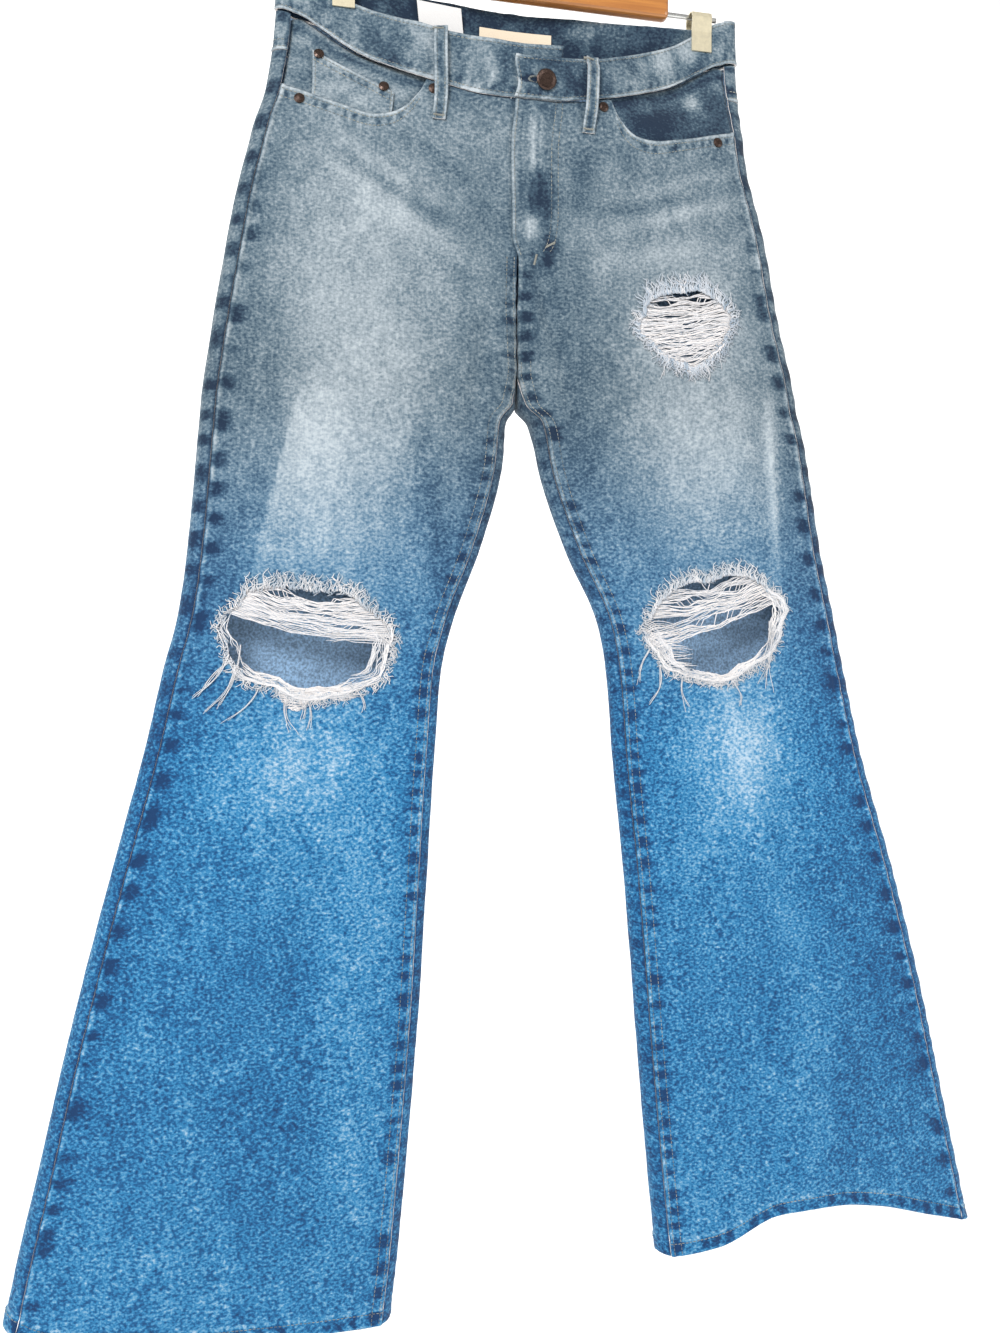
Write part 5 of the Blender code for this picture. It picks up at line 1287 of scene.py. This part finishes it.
# Bare patches of weft below a torn edge: middle across, from and to height, half width above, count
PATCHES = {
    "knee_left": [(-0.003, -0.040, -0.056, 0.020, 22), (0.030, -0.036, -0.044, 0.020, 10)],
    "knee_right": [(-0.010, -0.041, -0.049, 0.016, 10)],
    "thigh_right": [(0.000, -0.031, -0.040, 0.014, 12)],
}
# Dark slits between the threads: middle and half length across, height, and half opening
SLITS = {
    "knee_left": [(-0.026, 0.014, 0.0340, 0.0028), (0.012, 0.013, 0.0345, 0.0024),
                  (-0.002, 0.034, 0.0215, 0.0016), (0.030, 0.020, 0.0160, 0.0016)],
    "knee_right": [(-0.020, 0.018, 0.0270, 0.0030), (0.024, 0.014, 0.0300, 0.0026),
                   (0.004, 0.026, 0.0080, 0.0050),
                   (0.026, 0.014, -0.0080, 0.0040), (-0.008, 0.014, -0.0120, 0.0034)],
    "thigh_right": [(-0.016, 0.012, 0.0230, 0.0022), (0.016, 0.012, 0.0240, 0.0020),
                    (0.004, 0.018, 0.0050, 0.0010)],
}
# Loose threads that hang from a rip: from one point to another, with a curl to the side
HANGING = {
    "knee_left": [(-0.245, 0.004, -0.272, -0.036, 0.004), (-0.243, 0.000, -0.266, -0.030, -0.003),
                  (-0.240, -0.004, -0.262, -0.048, 0.005), (-0.222, -0.022, -0.246, -0.050, 0.004),
                  (-0.200, -0.026, -0.196, -0.060, -0.004), (-0.188, -0.024, -0.182, -0.058, 0.003),
                  (-0.150, -0.020, -0.140, -0.044, 0.004), (-0.128, 0.020, -0.112, 0.000, 0.003),
                  (-0.236, 0.012, -0.250, -0.040, 0.003), (-0.190, -0.024, -0.188, -0.052, 0.002)],
    "knee_right": [(0.112, -0.004, 0.104, -0.044, 0.004), (0.132, -0.014, 0.138, -0.046, -0.003),
                   (0.176, -0.016, 0.186, -0.044, 0.003), (0.214, 0.030, 0.206, -0.022, 0.004),
                   (0.216, 0.024, 0.211, -0.030, -0.003), (0.212, 0.034, 0.203, -0.010, 0.003),
                   (0.104, 0.010, 0.094, -0.024, -0.003)],
    "thigh_right": [(0.150, 0.254, 0.156, 0.236, 0.002), (0.120, 0.256, 0.114, 0.238, -0.002)],
}


def chord(rip, v):
    """Ends of the opening at a height in the rip's frame, from the torn outline."""
    angle = np.linspace(-math.pi / 2, math.pi / 2, 181)
    ends = []
    for turned in (angle + math.pi, angle):
        radius = rip_radius(rip, turned)
        u, height = radius * np.cos(turned), radius * np.sin(turned)
        order = np.argsort(height)
        ends.append(np.interp(v, height[order], u[order]))
    return ends


def front_at(side, x, z, out):
    """Points on the front sheet at X and height, moved out by out towards -Y."""
    distance = side * (x - outline("sway", z))
    relief = swells(CREASES["front"], "rise", x, z)
    points = body_point(side, "front", distance, z)
    points[..., 1] -= out + relief
    return points


def slit_push(name, u, v):
    gather = 0.4 + 1.1 * np.abs(wander(u / 0.018, v / 0.005, 67))
    push = 0.0006 * gather * np.sin(2 * math.pi * v / 0.0040 + 1.6 * wander(u / 0.020, v / 0.012, 68))
    for middle, half, height, opening in SLITS[name]:
        window = np.clip(1 - np.abs(u - middle) / half, 0, 1) ** 0.7
        push = push + opening * np.sign(v - height) * np.exp(-np.abs(v - height) / 0.0045) * window
    return push


def weft_strands(rip, radius):
    """Threads across the rip: rooted in the cloth, bunched by a shared noise, loose where they broke."""
    made, seed = [], 0
    for band in WEFT[rip["name"]]:
        for i in range(band["count"]):
            seed += 1
            chance = wander(np.array([seed * 1.37, seed * 2.11, seed * 3.73, seed * 0.71]), rip["x"] * 90, 61)
            v = band["high"] + (band["low"] - band["high"]) * (i + 0.5 + 0.6 * chance[0]) / band["count"]
            left, right = chord(rip, v)
            wide = right - left
            if wide < 0.006:
                continue
            start = band["start"] + (0.07 * chance[1] if band["start"] > 0 else 0.0)
            end = band["end"] + (0.07 * chance[2] if band["end"] < 1 else 0.0)
            t = np.linspace(0, 1, max(8, int(34 * (end - start))))
            u0 = left - THREAD_ROOT if band["start"] == 0 else left + start * wide
            u1 = right + THREAD_ROOT if band["end"] == 1 else left + end * wide
            u = u0 + (u1 - u0) * t
            share = (u - left) / wide
            inside = np.sin(math.pi * np.clip(share, 0, 1))
            height = v - band["sag"] * inside + band["slope"] * (share - 0.5) * np.minimum(1, 4 * inside)
            height = height + slit_push(rip["name"], u, height) * np.minimum(1, 3 * inside)
            waves = 0.0016 * wander(u / 0.013, v / 0.0045, 62) + 0.0007 * wander(u / 0.005, seed, 63)
            height = height + waves * inside
            loose = np.zeros(len(t))
            if band["end"] < 1:
                loose = t**3
            if band["start"] > 0:
                loose = (1 - t) ** 3
            height = height - loose * 0.004 * (1 + chance[3])
            x, z = rip_points(rip, u, height)
            out = 0.0001 + (0.0004 + 0.0004 * chance[3]) * np.minimum(1, 3 * inside) + 0.0012 * loose
            path = front_at(rip["side"], x, z, out)
            thick = radius * (0.9 + 0.35 * chance[1]) * (1 - 0.5 * loose)
            made.append((path, thick, OUT_OF_CLOTH, 0.82 + 0.25 * chance[2]))
    return made


def rim_strands(rip, radius):
    """Bundles of thread that sag along the torn edge, and bare patches of weft below it."""
    made, seed = [], 200
    for first, last, near, far, count in RIM[rip["name"]]:
        for i in range(count):
            seed += 1
            chance = wander(np.array([seed * 1.93, seed * 2.57, seed * 0.67, seed * 3.19]), rip["z"] * 90, 69)
            t = np.linspace(0, 1, 20)
            length = 0.55 + 0.30 * chance[1]
            begin = (1 - length) * (0.5 + 0.5 * chance[0])
            angle = np.radians(first + (last - first) * (begin + length * t))
            share = near + (far - near) * (i + 0.5) / count
            share = share + 0.050 * wander(angle * 3, i * 0.11, 70) + 0.022 * wander(angle * 13, seed, 71)
            edge = rip_radius(rip, angle) * share
            x, z = rip_points(rip, edge * np.cos(angle), edge * np.sin(angle))
            out = 0.0003 + (WALL / 2 + 0.0010) * step(0.93, 1.0, share) + 0.0004 * (1 + chance[2])
            path = front_at(rip["side"], x, z, out)
            thick = radius * (1 + 0.3 * chance[3]) * (1 - 0.6 * (2 * t - 1) ** 8)
            made.append((path, thick, OUT_OF_CLOTH, 0.75 + 0.25 * chance[2]))
    for middle, high, low, half, count in PATCHES[rip["name"]]:
        for i in range(count):
            seed += 1
            chance = wander(np.array([seed * 1.93, seed * 2.57]), rip["z"] * 90, 72)
            t = np.linspace(-1, 1, 10)
            reach = half * (1 - 0.85 * i / count) * (1 + 0.2 * chance[0])
            v = high + (low - high) * (i + 0.5) / count + 0.0006 * wander(t * 2.1, seed, 73)
            x, z = rip_points(rip, middle + reach * t + 0.0015 * chance[1], v)
            out = WALL / 2 + 0.0011 - 0.0012 * t**6
            path = front_at(rip["side"], x, z, out)
            made.append((path, radius, OUT_OF_CLOTH, 0.9 + 0.1 * chance[0]))
    return made


def fray_strands(rip, radius, count):
    """Wavy warp ends round the torn edge: up above it, down below it, and a few into the opening."""
    made = []
    t = np.linspace(0, 1, 8)
    for i in range(count):
        chance = wander(np.array([i * 1.71, i * 2.93, i * 0.83, i * 3.37, i * 0.47]), rip["x"] * 70, 64)
        angle = 2 * math.pi * (i + 0.7 * chance[0]) / count
        edge = rip_radius(rip, angle) * (1.0 + 0.03 * chance[4])
        u, v = edge * math.cos(angle), edge * math.sin(angle)
        upright = step(0.15, 0.55, abs(math.sin(angle)))
        into = -1 if chance[1] > 0.62 else 1
        length = (0.0060 + 0.0100 * abs(chance[2])) * (0.55 + 0.45 * upright) * (0.4 if into < 0 else 1.0)
        length = length * rip["fringe"] * (1.0 if v > 0 else 0.75)
        lean = 0.8 * chance[3]
        away = np.array([math.cos(angle), math.sin(angle)]) * (1 - upright)
        away = away + upright * np.array([math.sin(lean), math.copysign(math.cos(lean), math.sin(angle))])
        away = away / np.linalg.norm(away) * into
        run = t * (length + 0.002) - 0.002
        curl = 0.0025 * np.sin(t * (7 + 3 * chance[0]) + 3 * chance[2]) * t + 0.0050 * chance[0] * t**2
        x, z = rip_points(rip, u + away[0] * run - away[1] * curl, v + away[1] * run + away[0] * curl)
        lift = WALL / 2 + 0.0011 if into > 0 else 0.0004
        path = front_at(rip["side"], x, z, lift + (0.0006 + 0.0006 * chance[1]) * t)
        made.append((path, radius * (1.25 - 0.6 * t), OUT_OF_CLOTH, rip["fray_tint"] + 0.36 * chance[4]))
    return made


def hanging_strands(rip, radius):
    """Loose threads that hang out of the rip and lie on the cloth below it."""
    made = []
    t = np.linspace(0, 1, 22)
    for i, (x0, z0, x1, z1, curl) in enumerate(HANGING[rip["name"]]):
        for j in range(3):
            chance = wander(np.array([i * 2.3 + j * 5.1, i * 1.1 + j * 3.7]), 7, 65)
            bend = curl * np.sin(math.pi * t) + 0.0016 * wander(t * 3.3, i + 5 * j, 66) * t
            x = x0 + 0.0012 * chance[0] + (x1 - x0 + 0.004 * chance[1] * t) * t + bend
            z = z0 + (z1 - z0) * t * (0.8 + 0.2 * abs(chance[1]))
            path = front_at(rip["side"], x, z, WALL / 2 + 0.0006 + 0.0004 * j + 0.0006 * np.sin(math.pi * t))
            made.append((path, radius * (1 - 0.4 * t), OUT_OF_CLOTH, 0.8 + 0.2 * chance[0]))
    return made


# Sewing


def sewn(layer, key, value, axis, low=-9.0, high=9.0, **how):
    """A row of stitches at a distance from an edge of the layer, between two heights."""
    line, normals = layer.crossing(layer.seams[key], value, axis)
    kept = (line[:, 2] - LEVEL > low) & (line[:, 2] - LEVEL < high)
    if kept.sum() < 3:
        return []
    return stitches(line[kept], normals[kept], **how)


def raised_stitch(layer, columns, x, z, across, width, rise, dip, radius, tint):
    """One stitch over the nearest point of the layer: it rises out of the cloth and dips back in."""
    grid = layer.grid[:, :columns]
    flat = np.stack([grid[..., 0], grid[..., 2] - LEVEL], axis=-1)
    near = np.unravel_index(np.argmin(((flat - np.array([x, z])) ** 2).sum(-1)), flat.shape[:2])
    normal = layer.normal[near] / np.linalg.norm(layer.normal[near])
    t = np.linspace(-0.5, 0.5, 5)[:, None]
    centre = np.array([x, grid[near][1], z + LEVEL])
    path = centre + across * t * width + normal * (rise - dip * (2 * t) ** 2)
    return path, radius, normal, tint


def bartack(layer, x, z, along_x):
    """A close bar of stitches on the layer at X and height, along or across."""
    across = np.array([-along_x[1], 0, along_x[0]])
    made = []
    for i in range(13):
        share = (i / 12 - 0.5) * 0.0085
        at = (x + share * along_x[0], z + share * along_x[1])
        made.append(raised_stitch(layer, None, *at, across, 0.0020, 0.0006, 0.0014, 0.00036, 0.7))
    return made


def buttonhole_ring(band):
    """Close stitches round the buttonhole, which the button's head partly covers."""
    made = []
    for i in range(44):
        angle = 2 * math.pi * i / 44
        at = (BUTTON_X - 0.0140 + 0.0105 * math.cos(angle), BUTTON_Z + 0.0030 * math.sin(angle))
        across = np.array([math.cos(angle), 0, math.sin(angle)])
        made.append(raised_stitch(band, 160, *at, across, 0.0022, 0.0005, 0.0013, 0.00035, 0.35))
    return made


# Piece groups


def jeans_finishes(sizes):
    lighter = sizes.wash - 0.5
    outside = denim_finish("washed_denim", lighter)
    inside = plain_finish("denim_reverse", sizes.reverse_colour, 0.95, spotted=0.40, scale=520.0)
    rim = fray_finish("frayed_rim", sizes.thread_colour)
    return outside, inside, rim


def make_panels(sizes):
    """Panels, yokes, facings and back pockets of both sides; returns their layers for the sewing."""
    finishes = jeans_finishes(sizes)
    layers = {}
    for side, name in ((-1, "left"), (1, "right")):
        front, backs, yoke = front_layer(side), back_layers(side), yoke_layer(side)
        facing, pocket = facing_layer(side), back_pocket_layer(side)
        for node, slot, cut, wall, rests_on in (
            ("front_", "denim_lower", [front], WALL, "yoke_" + name),
            ("back_", "denim_lower", backs, WALL, "yoke_" + name),
            ("yoke_", "denim_upper", [yoke], WALL, "waistband"),
            ("facing_", "denim_upper", [facing], THIN_WALL, "waistband"),
            ("back_pocket_", "denim_upper", [pocket], WALL, "back_" + name),
        ):
            hang(node + name, cut, wall, finishes)
        layers[side] = dict(front=front, back=backs[0], yoke=yoke, pocket=pocket)
    return layers


def make_waist(sizes):
    """Waistband, coin pocket and belt loops; returns their layers."""
    finishes = jeans_finishes(sizes)
    band, coin = band_layer(), coin_layer()
    both_sides = (finishes[0], finishes[0], finishes[2])
    hang("waistband", [band], BAND_WALL, both_sides)
    hang("coin_pocket", [coin], THIN_WALL, finishes)
    loops = [loop_layer(row) for row in LOOPS]
    for row, loop in zip(LOOPS, loops):
        hang(row["name"], [loop], LOOP_WALL, finishes)
    return band, coin, loops


def make_threads(sizes):
    """Weft threads, frayed edges and loose ends of the three rips."""
    yarn = yarn_finish("torn_yarn", sizes.thread_shade, sizes.thread_colour)
    radius = sizes.thread_radius
    for name, rip in RIPS.items():
        strands = weft_strands(rip, radius) + rim_strands(rip, radius)
        strands += fray_strands(rip, radius, sizes.fray_count) + hanging_strands(rip, radius)
        made = strand_mesh("torn_" + name, strands, yarn)
        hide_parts("threads_" + name)


def make_sewing(sizes, layers, band, coin, loops):
    """Rows of stitches along the seams, and the bars at their ends."""
    how = dict(pitch=sizes.stitch_pitch, length=sizes.stitch_pitch * 0.74, radius=sizes.stitch_radius)
    strands = []
    for side in (-1, 1):
        front, back, yoke = layers[side]["front"], layers[side]["back"], layers[side]["yoke"]
        top = 0.335 if side < 0 else CROTCH
        for inset in (0.0026, 0.0088):
            strands += sewn(front, "inner", inset, 1, high=top, seed=side + 2, **how)
            strands += sewn(back, "inner", inset, 1, low=BACK_DIP, seed=side + 4, **how)
            strands += sewn(yoke, "inner", inset, 1, seed=side + 5, **how)
            strands += sewn(yoke, "foot", inset, 0, seed=side + 6, **how)
        for inset in (0.0032, 0.0096):
            strands += sewn(front, "scoop", inset, 0, seed=side + 8, **how)
        strands += sewn(front, "hem", HEM_STITCH, 0, seed=side + 9, **how)
        strands += sewn(back, "hem", HEM_STITCH, 0, seed=side + 10, **how)
        pocket = layers[side]["pocket"]
        for inset in (0.0026, 0.0090):
            strands += sewn(pocket, "left_side", inset, 1, seed=side + 11, **how)
            strands += sewn(pocket, "right_side", inset, 1, seed=side + 12, **how)
            strands += sewn(pocket, "foot", inset, 0, seed=side + 13, **how)
        strands += sewn(pocket, "top", 0.0110, 0, seed=side + 14, **how)
    right = layers[1]["front"]
    strands += sewn(right, "fly", 0.0, 1, low=FLY_FOOT + 0.004, seed=31, **how)
    strands += sewn(right, "fly", 0.0058, 1, low=FLY_FOOT + 0.004, seed=32, **how)
    strands += sewn(right, "inner", 0.0026, 1, low=FLY_FOOT, seed=33, **how)
    strands += bartack(right, 0.0020, 0.3315, (0.25, 0.97))
    strands += bartack(right, 0.0150, 0.3450, (0.85, 0.50))
    for key, inset, axis in (("low", 0.0030, 0), ("high", 0.0028, 0), ("end", 0.0030, 1)):
        strands += sewn(band, key, inset, axis, seed=41, **how)
    strands += buttonhole_ring(band)
    for inset in (0.0030, 0.0086):
        strands += sewn(coin, "top", inset, 0, seed=51, **how)
    strands += sewn(coin, "inner", 0.0022, 1, seed=52, **how)
    strands += sewn(coin, "outer", 0.0022, 1, seed=53, **how)
    for row, loop in zip(LOOPS, loops):
        for place in (-0.26, 0.26):
            strands += sewn(loop, "across", place, 1, seed=int(row["x"] * 900), **how)
        middle = row["side"] * row["x"] + float(outline("sway", row["foot"]))
        strands += bartack(loop, middle, row["foot"] + 0.0030, (1, 0))
        strands += bartack(loop, middle, row["top"] - 0.0008, (1, 0))
    thread = yarn_finish("sewing_thread", sizes.stitch_shade, sizes.stitch_colour, 0.8)
    made = strand_mesh("stitching", strands, thread)


def dress(finishes):
    """Gives CAD nodes a new material in the place of their own."""
    for names, finish in finishes:
        for name in names:
            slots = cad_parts[name].data.materials
            slots.clear()
            slots.append(finish)


def make_hardware(sizes):
    brass = plain_finish("antique_brass", sizes.brass_colour, 0.36, 0.75, 0.45, 900.0)
    steel = plain_finish("polished_steel", (0.62, 0.62, 0.60), 0.24, 1.0, 0.06, 200.0)
    clips = plain_finish("pale_gold", (0.78, 0.70, 0.50), 0.32, 0.7, 0.06, 300.0, Coat_Weight=0.3)
    cream = plain_finish("cream_label", (0.66, 0.56, 0.43), 0.9, 0.0, 0.06, 1500.0)
    white = plain_finish("white_label", (0.64, 0.63, 0.62), 0.85, 0.0, 0.04, 1500.0)
    wood = wood_finish("amber_wood", sizes.wood_shade, sizes.wood_colour)
    rivets = ["rivet_coin_outer", "rivet_coin_inner", "rivet_left_outer", "rivet_left_inner",
              "rivet_right_inner", "rivet_right_outer", "button"]
    dress([(rivets, brass), (["hanger_rod", "hanger_hook"], steel), (["clip_left", "clip_right"], clips),
           (["size_label"], cream), (["care_label"], white), (["hanger_bar"], wood)])


# Stage


def backdrop():
    """Floor and wall in one sheet: level, then a quarter turn of a large circle, then upright."""
    profile = [(-4.5, FLOOR), (WALL_BEHIND - COVE, FLOOR)]
    profile += [(WALL_BEHIND - COVE + COVE * math.sin(a), FLOOR + COVE * (1 - math.cos(a)))
                for a in np.linspace(0, math.pi / 2, 25)[1:]]
    profile.append((WALL_BEHIND, 4.5))
    y, z = np.array(profile).T
    x = np.array([-8.0, 8.0])
    points = np.stack([np.repeat(x, len(y)), np.tile(y, 2), np.tile(z, 2)], axis=-1)
    count = len(y)
    faces = [(i, count + i, count + i + 1, i + 1) for i in range(count - 1)]
    mesh = smooth_mesh("backdrop", points.tolist(), faces)
    finish = Finish("studio_paper", Roughness=0.9, Base_Color=(0.95, 0.95, 0.95, 1.0), Specular_IOR_Level=0.1,
                    Emission_Color=(1.0, 1.0, 1.0, 1.0), Emission_Strength=0.25)
    mesh.materials.append(finish.material)
    return link("backdrop", mesh)


def area_light(name, place, target, size, energy):
    light = bpy.data.lights.new(name, "AREA")
    light.shape, light.size, light.energy = "DISK", size, energy
    made = link(name, light)
    made.location = place
    made.rotation_euler = (Vector(target) - Vector(place)).to_track_quat("-Z", "Y").to_euler()
    return made


def make_stage(sizes):
    """Backdrop, soft lights, world and the camera."""
    backdrop()
    area_light("key", (-1.6, -2.4, 0.9), STAGE_MIDDLE, 1.1, sizes.key)
    area_light("fill", (2.2, -2.0, -0.2), STAGE_MIDDLE, 1.8, sizes.key * 0.30)
    area_light("back_wall", (0.0, 1.6, 1.6), (0.0, WALL_BEHIND, -0.2), 3.0, sizes.key * 0.5)
    world = bpy.data.worlds.new("studio")
    world.use_nodes = True
    sky = world.node_tree.nodes["Background"].inputs
    sky["Color"].default_value = (1.0, 1.0, 1.0, 1.0)
    sky["Strength"].default_value = sizes.ambient
    scene = bpy.context.scene
    scene.world = world
    scene.view_settings.view_transform = "Standard"
    camera = bpy.data.cameras.new("camera")
    camera.lens, camera.sensor_fit = LENS, "VERTICAL"
    camera.sensor_width, camera.sensor_height = FILM, FILM
    scene.camera = link("camera", camera)
    scene.camera.location = CAMERA_AT
    scene.camera.rotation_euler = (math.radians(90 - CAMERA_DOWN), 0.0, math.radians(CAMERA_TURN))


# Add-on


def colour(name, description, default):
    return FloatVectorProperty(name=name, description=description, subtype="COLOR", default=default)


class JeansSizes(bpy.types.PropertyGroup):
    wash: FloatProperty(name="Wash", description="Paleness of the whole dye", default=0.5, min=0.0, max=1.0)
    thread_radius: FloatProperty(name="Thread radius", description="Half thickness of the torn weft threads",
                                 default=0.00042, unit="LENGTH")
    fray_count: IntProperty(name="Frays", description="Short broken threads round each rip", default=400)
    stitch_pitch: FloatProperty(name="Stitch pitch", description="From one stitch to the next",
                                default=0.0033, unit="LENGTH")
    stitch_radius: FloatProperty(name="Stitch radius", description="Half thickness of the sewing thread",
                                 default=0.00034, unit="LENGTH")
    reverse_colour: colour("Reverse", "Inside of the denim", (0.21, 0.33, 0.48))
    thread_colour: colour("Torn thread", "Light torn threads", (0.80, 0.76, 0.74))
    thread_shade: colour("Torn thread, dark", "Bluish torn threads", (0.17, 0.27, 0.37))
    stitch_colour: colour("Sewing thread", "Light stitches", (0.34, 0.33, 0.28))
    stitch_shade: colour("Sewing thread, dark", "Dark stitches", (0.11, 0.135, 0.15))
    brass_colour: colour("Brass", "Button and rivets", (0.050, 0.031, 0.024))
    wood_colour: colour("Wood", "Light wood of the bar", (0.50, 0.205, 0.045))
    wood_shade: colour("Wood, dark", "Dark grain of the bar", (0.27, 0.095, 0.022))
    key: FloatProperty(name="Key light", description="Power of the key light, in watts", default=105.0)
    ambient: FloatProperty(name="Ambient", description="Strength of the white surroundings", default=0.50)


class JEANS_OT_cloth(bpy.types.Operator):
    """Make the denim panels, the waistband, the pockets, the loops and the sewing"""

    bl_idname = "jeans.cloth"
    bl_label = "Denim and sewing"

    def execute(self, context):
        sizes = context.scene.jeans_sizes
        layers = make_panels(sizes)
        band, coin, loops = make_waist(sizes)
        make_sewing(sizes, layers, band, coin, loops)
        return {"FINISHED"}


class JEANS_OT_threads(bpy.types.Operator):
    """Make the threads and frayed edges of the rips"""

    bl_idname = "jeans.threads"
    bl_label = "Torn threads"

    def execute(self, context):
        make_threads(context.scene.jeans_sizes)
        return {"FINISHED"}


class JEANS_OT_hardware(bpy.types.Operator):
    """Give the metal, wood and labels their materials"""

    bl_idname = "jeans.hardware"
    bl_label = "Hardware and hanger"

    def execute(self, context):
        make_hardware(context.scene.jeans_sizes)
        return {"FINISHED"}


class JEANS_OT_stage(bpy.types.Operator):
    """Set up the backdrop, the lights and the camera"""

    bl_idname = "jeans.stage"
    bl_label = "Stage"

    def execute(self, context):
        make_stage(context.scene.jeans_sizes)
        return {"FINISHED"}


class JEANS_PT_panel(bpy.types.Panel):
    bl_label = "Jeans"
    bl_idname = "JEANS_PT_panel"
    bl_space_type = "VIEW_3D"
    bl_region_type = "UI"
    bl_category = "Jeans"

    def draw(self, context):
        for key in JeansSizes.__annotations__:
            self.layout.prop(context.scene.jeans_sizes, key)
        for operator in OPERATORS:
            self.layout.operator(operator.bl_idname)


OPERATORS = (JEANS_OT_cloth, JEANS_OT_threads, JEANS_OT_hardware, JEANS_OT_stage)
CLASSES = (JeansSizes, *OPERATORS, JEANS_PT_panel)


def register():
    for cls in CLASSES:
        bpy.utils.register_class(cls)
    bpy.types.Scene.jeans_sizes = PointerProperty(type=JeansSizes)


def unregister():
    del bpy.types.Scene.jeans_sizes
    for cls in reversed(CLASSES):
        bpy.utils.unregister_class(cls)


def main():
    register()
    bpy.ops.jeans.cloth()
    bpy.ops.jeans.threads()
    bpy.ops.jeans.hardware()
    bpy.ops.jeans.stage()
    bpy.context.view_layer.update()


if __name__ == "__main__":
    main()
